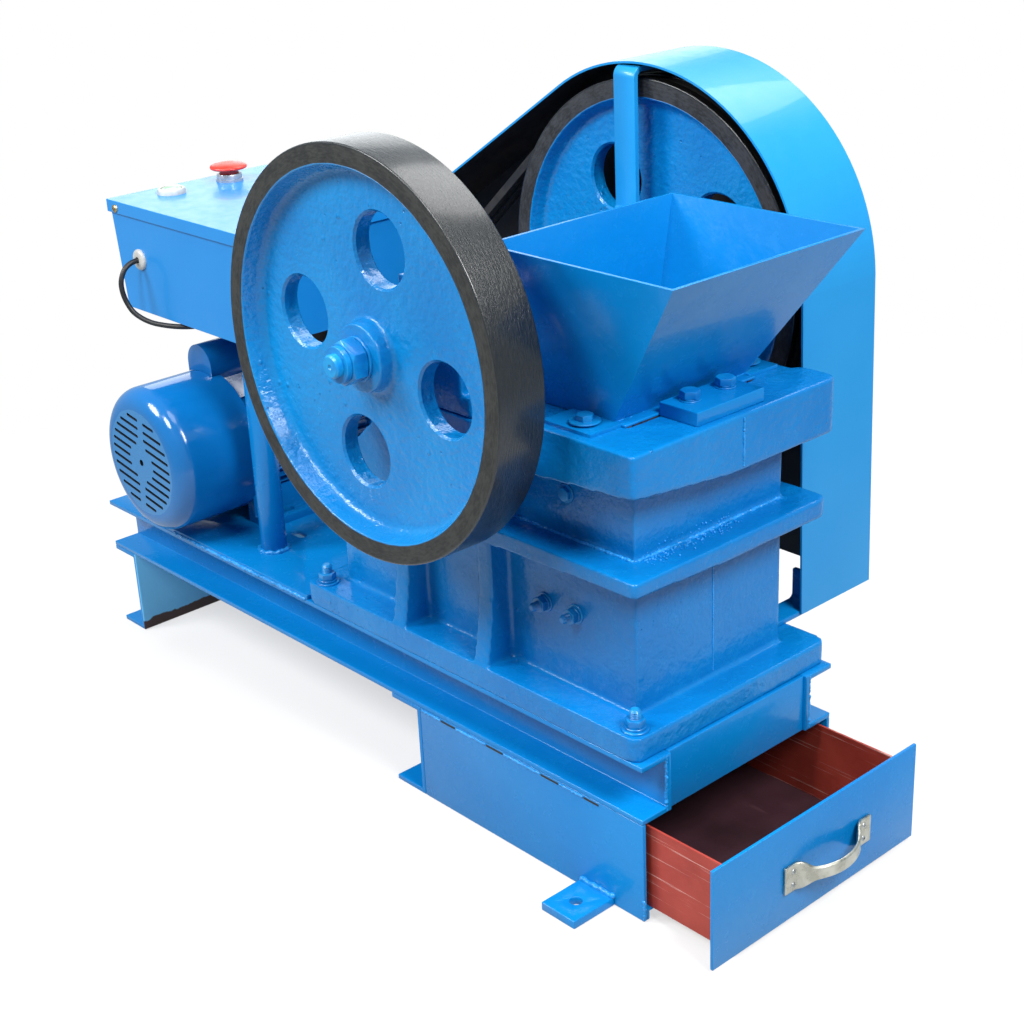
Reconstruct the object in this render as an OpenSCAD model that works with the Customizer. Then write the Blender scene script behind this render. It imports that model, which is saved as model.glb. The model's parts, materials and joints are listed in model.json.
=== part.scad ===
// Small jaw crusher on a steel base with a motor, belt drive, feed hopper and a collecting drawer.
// Millimetres. +X points to the drawer end, +Z up, the flywheel is on the -Y side.
// The origin is on the floor, midway between the two floor lug holes.

/* [Base frame] */
// Overall length of the two base rails
rail_len = 832; // [780:1:900]
// Distance from the floor lugs to the front end of the rails
rail_front = 55; // [52:1:70]
// Height of a rail channel
rail_h = 55; // [45:1:70]
// Width of a rail flange
rail_flange = 30; // [24:1:34]
// Thickness of the rail web and flanges
rail_t = 5; // [4:0.5:7]
// Half the width over the rail flanges
base_half = 122; // [118:1:130]
// Height of the drawer housing and of the rear leg
leg_h = 95; // [90:1:115]
// Reach of the leg flanges towards the rear
leg_flange = 37; // [25:1:45]
// Thickness of the folded leg and housing back
leg_t = 5; // [4:0.5:8]
// Length of the drawer housing behind the front of the rails
housing_len = 286; // [283:1:320]
// Thickness of the housing side panels
panel_t = 4; // [3:0.5:6]
// Thickness of the cross plate between the rails
cross_t = 5; // [4:0.5:8]
// Setback of the cross plate from the front of the rails
cross_inset = 3; // [1:0.5:8]
// Width of a floor lug
lug_w = 40; // [30:1:50]
// Reach of a floor lug from the housing side
lug_reach = 48; // [40:1:60]
// Thickness of a floor lug
lug_t = 8; // [5:0.5:12]
// Diameter of a floor bolt hole
lug_hole_d = 11; // [8:0.5:14]
// Distance of a floor bolt hole from the housing side
lug_hole_in = 26; // [20:1:30]
// Thickness of the motor deck plate
deck_t = 5; // [4:0.5:8]
// Bare rail length behind the deck plate
deck_setback = 68; // [40:1:70]
// Width of the slot in the deck plate
deck_slot_w = 10; // [6:1:14]
// Length of the slot in the deck plate
deck_slot_len = 22; // [14:1:30]
// Distance of the deck slot from the centre plane
deck_slot_y = 38; // [30:1:46]
// Width of a runner under the drawer
runner_w = 20; // [12:1:26]
// Thickness of a runner
runner_t = 3; // [2:0.5:5]
// Height of the runner top over the floor
runner_top = 11; // [9:0.5:14]

/* [Collecting drawer] */
// Length of the drawer box
drawer_len = 275; // [240:1:276]
// Gap between the drawer box and a housing side
drawer_side_gap = 5; // [4:0.5:10]
// Gap between the drawer box and the rails above
drawer_top_gap = 5; // [4:0.5:12]
// Sheet thickness of the drawer box
drawer_t = 2; // [1.5:0.5:3]
// How far the drawer stands open
drawer_open = 83; // [60:1:110]
// How far the drawer front stands past the housing on each side
drawer_front_over = 11; // [6:1:18]
// Lower edge of the drawer front over the floor
drawer_front_low = 3; // [2:0.5:6]
// Upper edge of the drawer front over the floor
drawer_front_high = 97.5; // [96:0.5:110]
// Thickness of the drawer front
drawer_front_t = 3; // [2:0.5:5]
// Length of the handle over its end plates
handle_len = 114; // [90:1:140]
// Height of the handle's bow
handle_w = 13; // [10:1:20]
// Thickness of the handle's bow and end plates
handle_t = 4; // [3:0.5:6]
// How far the handle stands out
handle_out = 22; // [18:1:30]
// Length of a handle end plate
handle_foot = 20; // [16:1:26]
// Height of a handle end plate
handle_plate_h = 26; // [18:1:34]
// Sideways place of the handle on the drawer front
handle_y = 10; // [-20:1:20]
// Height of the handle over the floor
handle_z = 45; // [35:1:60]

/* [Crusher body] */
// Length of the cast foot
foot_len = 448; // [436:1:460]
// How far the foot stays behind the front of the rails
foot_back = 6; // [2:1:12]
// Thickness of the cast foot
foot_t = 22; // [16:1:30]
// Corner radius of the cast foot
foot_r = 10; // [6:1:16]
// Setback of the side walls from the edge of the foot
wall_set = 32; // [28:1:34]
// Thickness of the side walls
wall_t = 14; // [10:1:16]
// Thickness of the front wall
front_wall_t = 20; // [14:1:24]
// How far the foot and flanges stand out before the front wall
lip_out = 29; // [20:1:36]
// Thickness of the rear wall
rear_wall_t = 18; // [12:1:24]
// Length of the foot behind the rear wall
foot_tail = 29; // [14:1:34]
// Height of the rear wall over the foot
rear_wall_h = 128; // [110:1:150]
// Height of the mid flange's upper face over the rails
mid_flange_z = 161; // [140:1:180]
// Thickness of the mid flange
mid_flange_t = 17; // [12:1:20]
// Rise of the mid flange's underside to its near front corner
mid_flange_rise = 4; // [2:0.5:6]
// Height of the body's top face over the rails
body_top_z = 267; // [255:1:285]
// Thickness of the top flange
top_flange_t = 48; // [40:1:54]
// Rise of the top flange's underside to its near front corner
top_flange_rise = 12; // [6:1:14]
// Length of the toe of the top flange on the belt side
toe_len = 46; // [40:1:50]
// How far that toe stands out past the flange
toe_out = 9; // [6:0.5:10]
// Length of the top flange from its front edge
flange_len = 178; // [172:1:180]
// Length of the mid flange from its front edge
mid_flange_len = 199; // [182:1:204]
// Setback of the flanges from the edge of the foot
flange_set = 2; // [0:0.5:6]
// Radius of the flange corners on the belt side
flange_r = 13; // [6:1:16]
// Radius of the flange corners on the flywheel side
flange_near_r = 4; // [2:1:8]
// Thickness of a side rib
rib_t = 18; // [14:1:24]
// Distance between the two ribs of a side
rib_pitch = 114; // [100:1:116]
// Distance of the middle of the ribs behind the shaft
rib_back = 8; // [4:1:10]
// Reach of a rib at its foot
rib_low = 31; // [24:1:32]
// Reach of a rib at its head
rib_high = 21; // [16:1:24]
// Height over which a rib flares to its foot
rib_flare = 90; // [40:1:110]
// Height of the bearing seats over the rails
seat_z = 255; // [250:1:260]
// Thickness of the bearing seat shelf
seat_t = 17; // [12:1:24]
// Length of the discharge opening in the foot
outlet_len = 140; // [120:1:150]

/* [Jaws] */
// Thickness of a jaw plate without its teeth
jaw_t = 16; // [12:1:18]
// Height of the jaw teeth
tooth_h = 6; // [4:0.5:8]
// Number of teeth across a jaw plate
tooth_n = 7; // [5:1:9]
// Gap between a jaw plate and a cheek plate
jaw_clear = 2; // [1:0.5:4]
// Gap at the discharge between the tooth tips
jaw_gap = 18; // [12:1:24]
// Length of the moving jaw plate
moving_jaw_len = 236; // [220:1:240]
// Nip angle between the jaws in degrees
nip_angle = 17.7; // [16:0.1:18]
// Lower end of the jaw plates over the foot
jaw_low = 12; // [8:1:20]
// Thickness of the cheek plates
cheek_t = 6; // [4:0.5:7]
// Thickness of the toggle plate
toggle_t = 12; // [8:1:16]
// Setback of the toggle plate from the sides of the jaw
toggle_in = 18; // [10:1:24]
// Width of the front clamp plate
clamp_w = 80; // [60:1:100]
// Length of the front clamp plate
clamp_len = 41; // [34:1:44]
// Thickness of the front clamp plate
clamp_t = 12; // [8:1:16]

/* [Feed hopper] */
// Height of the hopper
hopper_h = 134; // [120:1:150]
// Length of the hopper mouth
hopper_top_len = 206; // [190:1:220]
// Outward slope of each hopper side
hopper_flare = 33; // [20:1:38]
// Length of the hopper's lower end
hopper_low_len = 105; // [95:1:107]
// How far the hopper's lower end laps over the side walls
hopper_lap = 2; // [1:0.5:4]
// Overhang of the mouth behind the hopper's lower end
hopper_rear_over = 5; // [0:1:12]
// Sheet thickness of the hopper
hopper_t = 3; // [2:0.5:4]
// Width of the hopper's side tabs
hopper_tab = 34; // [26:1:36]
// Length of the hopper's side tabs
hopper_tab_len = 54; // [40:1:70]

/* [Flywheel and shaft] */
// Distance of the shaft behind the fixed jaw's seat
shaft_in = 190; // [189:1:194]
// Height of the shaft over the bearing seats
shaft_up = 57; // [54:1:60]
// Diameter of the flywheel and of the belt pulley
wheel_d = 350; // [320:1:356]
// Width of the flywheel and pulley rims
wheel_w = 47; // [40:1:50]
// Distance of a wheel's inner face from its bearing
wheel_gap = 23; // [20:1:28]
// Thickness of the flywheel rim
rim_t = 18; // [14:1:24]
// Depth of the web below the rim face
web_recess = 18; // [12:1:20]
// Thickness of a wheel web
web_t = 17; // [10:1:20]
// Slope of the rim's inside over the recess
rim_draft = 5; // [2:0.5:7]
// Diameter of the wheel hubs
hub_d = 60; // [52:1:70]
// How far a hub stands out of the web
hub_out = 14; // [8:1:17]
// Distance of a hub's inner end from its bearing
hub_gap = 14; // [11:1:16]
// Diameter of the round holes in the webs
web_hole_d = 62; // [40:1:64]
// Diameter of the circle of the web holes
web_hole_pcd = 183; // [176:1:190]
// Number of holes in a web
web_hole_n = 4; // [3:1:5]
// Turn of the flywheel's holes in degrees
fly_turn = 12; // [0:1:89]
// Turn of the pulley's holes in degrees
pulley_turn = 58; // [0:1:89]
// Diameter of the shaft in its bearings
shaft_d = 40; // [30:1:44]
// Diameter of the shaft in the hubs
hub_shaft_d = 30; // [24:1:36]
// Diameter of the shaft's threaded ends
thread_d = 20; // [14:1:23]
// Length of a threaded end beyond the hub
thread_len = 29; // [26:1:32]
// Width over the flats of a shaft nut
nut_af = 36; // [30:1:42]
// Thickness of a shaft nut
nut_t = 16; // [12:1:18]
// Diameter of the lock ring outside the nut
ring_d = 32; // [26:1:38]
// Thickness of the lock ring
ring_t = 6; // [4:0.5:7]
// Radius of a bearing housing
bearing_r = 48; // [40:1:52]
// Half the length of a bearing housing's base
bearing_base_half = 60; // [54:1:60]
// Height of a bearing housing's base
bearing_base_h = 18; // [12:1:24]
// How far a bearing stands out over the edge of the foot
bearing_over = 2; // [0:0.5:4]
// Height of the flat pad on a bearing over its round top
bearing_pad = 3; // [2:0.5:6]

/* [Belt drive] */
// Diameter of the motor pulley
motor_pulley_d = 82; // [70:1:96]
// Number of belts
belt_n = 2; // [1:1:3]
// Distance between the belts
belt_pitch = 16; // [15:0.5:20]
// Width of a belt
belt_w = 12; // [10:0.5:13]
// Thickness of a belt
belt_t = 8; // [6:0.5:9]
// Depth of a belt's back below the pulley rim
belt_sink = 1.5; // [1:0.5:3]
// Depth of a belt groove
groove_depth = 12; // [11:0.5:15]

/* [Motor] */
// Distance of the motor behind the crusher shaft
drive_len = 439; // [430:1:450]
// Height of the motor shaft over the deck
motor_h = 90; // [86:1:100]
// Diameter of the motor frame
motor_d = 140; // [130:1:150]
// Distance of the fan end of the frame from the centre plane
motor_fan_end = 72; // [60:1:84]
// Distance of the drive end of the frame from the centre plane
motor_drive_end = 92; // [80:1:100]
// Height of the cooling fins
fin_h = 5; // [3:0.5:8]
// Thickness of a cooling fin
fin_t = 3; // [2:0.5:4]
// Number of cooling fins
fin_n = 32; // [16:4:40]
// Length of the drive end shield
shield_len = 18; // [12:1:24]
// Diameter of the fan cover
fan_d = 155; // [150:1:164]
// Length of the fan cover with its lap
fan_len = 96; // [84:1:112]
// Lap of the fan cover over the motor frame
fan_lap = 12; // [8:1:20]
// Radius of the fan cover's edge
fan_r = 20; // [12:1:24]
// Sheet thickness of the fan cover
fan_t = 2.5; // [2:0.5:4]
// Number of air slots in each column
slot_n = 11; // [7:2:13]
// Distance between the air slots
slot_pitch = 9.4; // [9:0.1:10]
// Width of an air slot
slot_w = 3.2; // [2:0.1:4]
// Turn of the air slots in degrees
slot_turn = 9; // [0:1:20]
// Radius of the closed middle between the slot columns
slot_in_r = 20; // [12:1:26]
// Gap between the slots and the edge of the cover's flat face
slot_edge = 5; // [3:0.5:10]
// Diameter of the hole in the middle of the cover
fan_hole_d = 7; // [4:0.5:12]
// Diameter of the motor shaft
motor_shaft_d = 24; // [19:1:28]
// Width over the motor feet
motor_foot_w = 136; // [124:1:150]
// Width of a motor foot's flat
motor_foot_flat = 36; // [28:1:44]
// Length of the motor feet along the shaft
motor_foot_len = 124; // [110:1:128]
// Thickness of a motor foot
motor_foot_t = 8; // [6:1:14]
// Thickness of a motor foot's upright
motor_foot_web = 12; // [8:1:16]
// Distance of the middle of the motor feet from the centre plane
motor_foot_mid = 9; // [7:1:12]
// Width of a slot in a motor foot
foot_slot_w = 9; // [7:0.5:11]
// Width of the capacitor housing
cap_w = 44; // [36:1:56]
// Distance of the capacitor housing behind the motor shaft
cap_back = 5; // [0:1:12]
// How far the capacitor housing reaches over the fan cover
cap_over = 10; // [4:1:16]
// Height of the lead's boss over the capacitor housing
cap_boss = 2; // [1:0.5:4]
// Distance of the lead's boss from the end of the capacitor housing
cap_boss_in = 58; // [40:1:70]
// Height of the capacitor housing over the frame
cap_h = 36; // [28:1:44]
// Length of the capacitor housing
cap_len = 100; // [80:1:120]

/* [Belt guard] */
// Gap between the pulley and the guard band
guard_gap = 15; // [12:1:24]
// Radius of the guard band round the motor pulley
guard_motor_r = 137; // [120:1:140]
// Height of the guard's lower edge over the cast foot
guard_lift = 3; // [2:0.5:6]
// How far the guard's open edge reaches past the pulley's inner face
guard_edge = 7; // [5:0.5:9]
// Room between the pulley and the guard's outer face
guard_room = 46; // [40:1:52]
// How far the guard's front edge leans out at its lower end
guard_lean = 6; // [0:0.5:10]
// Sheet thickness of the guard
guard_t = 2; // [1.5:0.5:3]
// Width of the guard strap
strap_w = 26; // [18:1:30]
// Thickness of the guard strap
strap_t = 5; // [3:0.5:6]
// Length of the strap's foot on the bearing
strap_foot = 30; // [24:1:40]
// Length of the strap's hook under the band
strap_hook = 24; // [18:1:40]
// Inner radius of the bends in the strap and the bracket
strap_bend = 5; // [3:0.5:8]
// Width of the lower guard bracket
bracket_w = 25; // [18:1:30]
// Thickness of the lower guard bracket
bracket_t = 5; // [3:0.5:6]
// Height of the bracket's upright tab
bracket_h = 34; // [24:1:44]
// Length of the bracket along the guard
bracket_len = 25; // [20:1:40]

/* [Control box] */
// Distance of the control posts before the motor shaft
post_set = 112; // [104:1:120]
// Distance of each post from the edge of the deck
post_in = 45; // [37:1:60]
// Diameter of a control post
post_d = 27; // [20:1:34]
// Gap between the capacitor housing and the control box
box_gap = 34; // [28:1:50]
// Height of the control box
box_h = 112; // [100:1:130]
// Reach of the control box before the posts
box_front_over = 52; // [40:1:60]
// Length of the control box at the lid
box_len = 260; // [240:1:270]
// Half the width of the control box
box_half = 99; // [94:1:104]
// Inward slope of each end of the control box at its floor
box_slope = 12; // [0:1:20]
// Sheet thickness of the control box
box_t = 2; // [1.5:0.5:3]
// Overhang of the lid around the box
lid_over = 2.5; // [2.5:0.5:5]
// Depth of the lid's folded edge
lid_lip = 11; // [6:1:16]
// Distance of the buttons from the box's rear edge
button_in = 32; // [24:1:44]
// Sideways place of the start button
start_y = -43; // [-60:1:-30]
// Sideways place of the stop button
stop_y = 30; // [20:1:60]
// Outer diameter of the start button's bezel
bezel_d = 30; // [26:1:36]
// Height of the start button's bezel
bezel_h = 6; // [4:0.5:8]
// Diameter of the start button
start_d = 21; // [18:0.5:23]
// Diameter of the stop button's head
stop_head_d = 40; // [34:1:44]
// Height of the stop button's head
stop_head_h = 6.5; // [5:0.5:12]
// Diameter of the stop button's collar
collar_d = 29; // [26:1:32]
// Height of the stop button's collar
collar_h = 8; // [6:0.5:10]
// Thickness of the stop button's rim
stop_edge = 1.5; // [1:0.25:2]
// Diameter of the stop button's stem
stem_d = 20; // [16:0.5:22]
// Travel of both buttons
button_travel = 4; // [2:0.5:5]
// Distance between two button faces that never touch
button_rest = 1; // [0.5:0.25:2]
// Distance of the lead's grommet from the box's rear edge
gland_in = 48; // [40:1:60]
// Height of the lead's grommet over the box floor
gland_up = 57; // [50:1:70]
// Diameter of the lead's grommet
gland_d = 22; // [16:1:26]
// Thickness of the lead's grommet
gland_t = 4; // [3:0.5:6]
// Bevel of the grommet's rim
gland_bevel = 2; // [1:0.5:3]
// Diameter of the motor lead
lead_d = 5.5; // [5:0.5:7]

/* [Fits] */
// Running clearance round the shaft
run_clear = 0.05; // [0.02:0.01:0.1]
// Small gap between parts that lie close
seat_clear = 0.3; // [0.2:0.05:0.5]
// Clearance of a button in its bezel
button_clear = 0.3; // [0.2:0.05:0.6]
// Side clearance of a belt in its groove
groove_clear = 0.3; // [0.2:0.1:1]

/* [Hidden] */

blue = "royalblue";
round_fn = 64;
cut = 1;
half_turn = 180;
quarter = 90;
arc_steps = 40;
flare_steps = 8;

rail_rear = rail_front - rail_len;
rail_top = leg_h + rail_h;
web_half = base_half - rail_flange;
panel_in = base_half - panel_t;
housing_rear = rail_front - housing_len;
lug_hole_y = base_half + lug_hole_in;
deck_top = rail_top + deck_t;

drawer_x = rail_front + drawer_open;
drawer_half = panel_in - drawer_side_gap;
drawer_front_half = base_half + drawer_front_over;
drawer_low = runner_top + seat_clear;
drawer_high = leg_h - drawer_top_gap;

foot_front = rail_front - foot_back;
foot_rear = foot_front - foot_len;
foot_top = rail_top + foot_t;
wall_front = foot_front - lip_out;
wall_rear = foot_rear + foot_tail;
wall_half = base_half - wall_set;
wall_in = wall_half - wall_t;
flange_half = base_half - flange_set;
jaw_seat_x = wall_front - front_wall_t;
mid_top = rail_top + mid_flange_z;
body_top = rail_top + body_top_z;
flange_rear = foot_front - flange_len;
shaft_x = jaw_seat_x - shaft_in;
seat_top = rail_top + seat_z;
shaft_z = seat_top + shaft_up;
bearing_out = base_half + bearing_over;
rib_x = shaft_x - rib_back;
rear_wall_top = foot_top + rear_wall_h;
deck_front = foot_rear - seat_clear;
deck_rear = rail_rear + deck_setback;

jaw_foot = foot_top + jaw_low;
tip_x = jaw_seat_x - jaw_t - tooth_h;
moving_x = tip_x - jaw_gap;
jaw_half = wall_in - cheek_t - jaw_clear;
toggle_half = jaw_half - toggle_in;
toggle_z = jaw_foot + 2 * toggle_t;

hopper_front = tip_x + tooth_h + hopper_t;
hopper_rear = hopper_front - hopper_low_len;
hopper_top = body_top + hopper_h;
hopper_low_half = wall_in + hopper_lap;
hopper_top_half = hopper_low_half + hopper_flare;

wheel_r = wheel_d / 2;
wheel_in = bearing_out + wheel_gap;
hub_in = bearing_out + hub_gap;
wheel_out = wheel_in + wheel_w;
web_face = wheel_out - web_recess;
hub_face = web_face + hub_out;

motor_x = shaft_x - drive_len;
motor_z = deck_top + motor_h;
motor_r = motor_d / 2;
pulley_mid = wheel_in + wheel_w / 2;
motor_pulley_r = motor_pulley_d / 2;

guard_r = wheel_r + guard_gap;
guard_low = foot_top + guard_lift;
guard_in = wheel_in - guard_edge;
guard_out = wheel_out + guard_room;
guard_angle = atan2(shaft_z - motor_z, shaft_x - motor_x)
    + asin((guard_r - guard_motor_r) / norm([shaft_x - motor_x, shaft_z - motor_z]));

cover_rear = fan_lap - motor_fan_end;
cap_x = motor_x - cap_back;
cap_y = cover_rear - cap_over;
cap_top = motor_z + motor_r + cap_h;
cap_boss_y = cap_y + cap_boss_in;
cap_gland_top = cap_top + cap_boss + gland_t;

post_x = motor_x + post_set;
post_y = base_half - post_in;
box_low = cap_top + box_gap;
box_top = box_low + box_h;
box_rear = post_x + box_front_over - box_len;
lid_top = box_top + box_t;
button_x = box_rear + button_in;
gland_x = box_rear + gland_in;
gland_z = box_low + gland_up;
gland_tip = -box_half - gland_t;

// Route of the motor lead: out of the grommet, down round the edge of the control box, and into
// the top of the capacitor housing under the box
lead_points = [
    [gland_x, gland_tip, gland_z], [-677, -111, 440.5], [-677, -118, 436.5],
    [-677, -122.5, 430], [-677, -125, 422],
    [-676, -125, 412], [-674, -123, 402], [-669, -120, 392.5], [-661, -115.5, 386], [-650, -110.5, 382],
    [-638, -105, 380.5], [-626, -99, 380], [-615, -91.5, 380], [-607, -81, 380], [-603.5, -69, 380],
    [-604.5, -57, 380], [-609.5, -47, 380], [-616, -39, 379.5], [-623, -31, 378.5], [-628, -23, 376],
    [-631.5, -16.5, 371], [-633.5, -13, 364], [cap_x, cap_boss_y, cap_gland_top]
];
lead_ref = [1, 0, -0.3];
lead_sides = 8;

// A flat with round corners, centred on its own middle; the corners at -Y may have their own radius
module round_rect(w, l, r, near_r) {
    difference() {
        square([w, l], center = true);
        for (sx = [-1, 1], sy = [-1, 1]) let (q = sy < 0 ? near_r : r) translate([sx * w / 2, sy * l / 2])
            scale([-sx, -sy]) difference() {
                translate([-cut, -cut]) square(q + cut);
                translate([q, q]) circle(q, $fn = round_fn);
            }
    }
}

// A quarter bend of a flat bar about a point, in the quadrant given by two signs
module bend(y, z, r, t, side_y, side_z) {
    translate([y, z]) intersection() {
        difference() {
            circle(r + t, $fn = round_fn);
            circle(r, $fn = round_fn);
        }
        scale([side_y, side_z]) square(r + t);
    }
}

// A box between two corners
module block(low, high) {
    translate(low) cube(high - low);
}

// A profile drawn in Y and Z, drawn out along X
module along_x(x0, x1) {
    translate([x0, 0, 0]) rotate([quarter, 0, quarter]) linear_extrude(x1 - x0) children();
}

// A profile drawn in X and Z, drawn out along Y
module along_y(y0, y1) {
    translate([0, y1, 0]) rotate([quarter, 0, 0]) linear_extrude(y1 - y0) children();
}

// A profile of radius and distance along +Y, turned about a shaft that lies along Y
module turned(x, z) {
    translate([x, 0, z]) rotate([-quarter, 0, 0]) rotate_extrude($fn = round_fn) children();
}

// A round bar along Y
module bar_y(x, z, r, y0, y1) {
    translate([x, y0, z]) rotate([-quarter, 0, 0]) cylinder(r = r, h = y1 - y0, $fn = round_fn);
}

// A sheet trough or box with four sloping sides
module frustum(low_x, low_y, z0, top_x, top_y, z1) {
    polyhedron(
        points = [
            [low_x[0], low_y[0], z0], [low_x[1], low_y[0], z0],
            [low_x[1], low_y[1], z0], [low_x[0], low_y[1], z0],
            [top_x[0], top_y[0], z1], [top_x[1], top_y[0], z1],
            [top_x[1], top_y[1], z1], [top_x[0], top_y[1], z1]
        ],
        faces = [[0, 1, 2, 3], [7, 6, 5, 4], [4, 5, 1, 0], [5, 6, 2, 1], [6, 7, 3, 2], [7, 4, 0, 3]]
    );
}

// Section of a base rail: the flanges point outwards
module rail_section(side) {
    for (z = [leg_h, rail_top - rail_t])
        translate([side > 0 ? web_half : -base_half, z]) square([rail_flange, rail_t]);
    translate([side > 0 ? web_half - rail_t : -web_half, leg_h]) square([rail_t, rail_h]);
}

// A folded channel across the base, its flanges pointing to the rear
module cross_channel(web_x) {
    along_y(-base_half, base_half) {
        translate([web_x - leg_t, 0]) square([leg_t, leg_h]);
        for (z = [0, leg_h - leg_t])
            translate([web_x - leg_t - leg_flange, z]) square([leg_flange + leg_t, leg_t]);
    }
}

module base_rail_near() { color(blue) along_x(rail_rear, rail_front) rail_section(-1); }

module base_rail_far() { color(blue) along_x(rail_rear, rail_front) rail_section(1); }

module front_cross_plate() {
    color(blue) block(
        [rail_front - cross_inset - cross_t, -web_half + rail_t, leg_h],
        [rail_front - cross_inset, web_half - rail_t, rail_top]
    );
}

module rear_leg() { color(blue) cross_channel(rail_rear + leg_flange + leg_t); }

module housing_back() { color(blue) cross_channel(housing_rear); }

module housing_side(side) {
    y = side > 0 ? panel_in : -base_half;
    block([housing_rear, y, 0], [rail_front, y + panel_t, leg_h]);
}

module housing_side_near() { color(blue) housing_side(-1); }

module housing_side_far() { color(blue) housing_side(1); }

module drawer_runners() {
    color(blue) for (side = [0, 1]) mirror([0, side, 0]) along_x(housing_rear, rail_front) {
        translate([panel_in - runner_w, runner_top - runner_t]) square([runner_w, runner_t]);
        translate([panel_in - runner_t, 0]) square([runner_t, runner_top]);
    }
}

module floor_lugs() {
    color(blue) for (side = [0, 1]) mirror([0, side, 0]) difference() {
        block([-lug_w / 2, base_half, 0], [lug_w / 2, base_half + lug_reach, lug_t]);
        translate([0, lug_hole_y, -cut]) cylinder(d = lug_hole_d, h = lug_t + 2 * cut, $fn = round_fn);
    }
}

module deck_plate() {
    color(blue) difference() {
        block([deck_rear, -base_half, rail_top], [deck_front, base_half, deck_top]);
        translate([post_x - deck_slot_len / 2, -deck_slot_y, rail_top - cut])
            linear_extrude(deck_t + 2 * cut) {
                for (end = [-1, 1]) translate([end * (deck_slot_len - deck_slot_w) / 2, 0])
                    circle(d = deck_slot_w, $fn = round_fn);
                square([deck_slot_len - deck_slot_w, deck_slot_w], center = true);
            }
    }
}

// A flange round the front and both sides of the body, its underside rising to the near front corner
module body_flange(z0, z1, len, rise) {
    corner_x = [foot_front - cut, foot_front + cut];
    corner_y = [-flange_half - cut, -flange_half + cut];
    difference() {
        translate([foot_front - len / 2, 0, z0]) linear_extrude(z1 - z0) difference() {
            round_rect(len, 2 * flange_half, flange_r, flange_near_r);
            translate([-front_wall_t - lip_out, 0]) square([len, 2 * wall_in], center = true);
        }
        frustum([foot_front - len - cut, corner_x[1]], [corner_y[0], cut], z0 - cut,
            corner_x, corner_y, z0 + rise);
    }
}

// The toe that carries the front of the top flange on towards the belt guard
module flange_toe() {
    wide = 2 * flange_r + toe_out;
    translate([foot_front - toe_len / 2, flange_half + toe_out - wide / 2, body_top - top_flange_t])
        linear_extrude(top_flange_t) round_rect(toe_len, wide, flange_r, flange_near_r);
}

// A side rib that flares in a curve to its foot
module side_rib(x) {
    head = seat_top - seat_t;
    translate([x - rib_t / 2, 0, 0]) along_x(0, rib_t) polygon(concat(
        [[wall_half - cut, head], [wall_half - cut, foot_top - cut], [wall_half + rib_low, foot_top - cut]],
        [for (i = [0 : flare_steps]) let (u = i / flare_steps)
            [wall_half + rib_high + (rib_low - rib_high) * pow(1 - u, 2), foot_top + u * rib_flare]],
        [[wall_half + rib_high, head]]
    ));
}

module side_wall() {
    along_y(wall_in, wall_half) polygon([
        [wall_rear, foot_top - cut], [wall_front, foot_top - cut], [wall_front, body_top - cut],
        [flange_rear, body_top - cut], [flange_rear, seat_top],
        [shaft_x - bearing_base_half, seat_top], [wall_rear, rear_wall_top]
    ]);
}

module crusher_body() {
    color(blue) {
        difference() {
            translate([(foot_front + foot_rear) / 2, 0, rail_top]) linear_extrude(foot_t)
                round_rect(foot_len, 2 * base_half, foot_r, foot_r);
            block([jaw_seat_x - outlet_len, -wall_in, rail_top - cut], [jaw_seat_x, wall_in, foot_top + cut]);
        }
        for (side = [0, 1]) mirror([0, side, 0]) {
            side_wall();
            for (off = [-1, 1]) side_rib(rib_x + off * rib_pitch / 2);
            block([shaft_x - bearing_base_half, wall_in, seat_top - seat_t],
                [flange_rear + cut, bearing_out, seat_top]);
        }
        block([jaw_seat_x, -wall_half, foot_top - cut], [wall_front, wall_half, body_top - cut]);
        block([wall_rear, -wall_half, foot_top - cut], [wall_rear + rear_wall_t, wall_half, rear_wall_top]);
        body_flange(mid_top - mid_flange_t, mid_top, mid_flange_len, mid_flange_rise);
        body_flange(body_top - top_flange_t, body_top, flange_len, top_flange_rise);
        flange_toe();
    }
}

module bearing(side) {
    mirror([0, side > 0 ? 0 : 1, 0]) difference() {
        union() {
            bar_y(shaft_x, shaft_z, bearing_r, wall_in, bearing_out);
            block([shaft_x - bearing_r, wall_in, seat_top], [shaft_x + bearing_r, bearing_out, shaft_z]);
            block([shaft_x - bearing_base_half, wall_in, seat_top],
                [shaft_x + bearing_base_half, bearing_out, seat_top + bearing_base_h]);
            block([shaft_x - strap_w, bearing_out - strap_foot, shaft_z],
                [shaft_x + strap_w, bearing_out, shaft_z + bearing_r + bearing_pad]);
        }
        bar_y(shaft_x, shaft_z, shaft_d / 2 + run_clear, wall_in - cut, bearing_out + cut);
    }
}

module bearing_near() { color(blue) bearing(-1); }

module bearing_far() { color(blue) bearing(1); }

// Jaw plate section across the jaw: a back with pointed teeth along it, the back at x = 0
module jaw_section() {
    pitch = 2 * jaw_half / tooth_n;
    polygon(concat(
        [[0, jaw_half], [0, -jaw_half]],
        [for (i = [0 : tooth_n - 1], p = [[0, 0], [tooth_h, pitch / 2]])
            [-jaw_t - p[0], -jaw_half + i * pitch + p[1]]],
        [[-jaw_t, jaw_half]]
    ));
}

module fixed_jaw() {
    color("slategray") translate([jaw_seat_x, 0, jaw_foot]) linear_extrude(body_top - jaw_foot) jaw_section();
}

module moving_jaw_plate() {
    color("slategray") translate([moving_x, 0, jaw_foot]) rotate([0, -nip_angle, 0])
        translate([-jaw_t - tooth_h, 0, 0]) linear_extrude(moving_jaw_len) mirror([1, 0, 0]) jaw_section();
}

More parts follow.
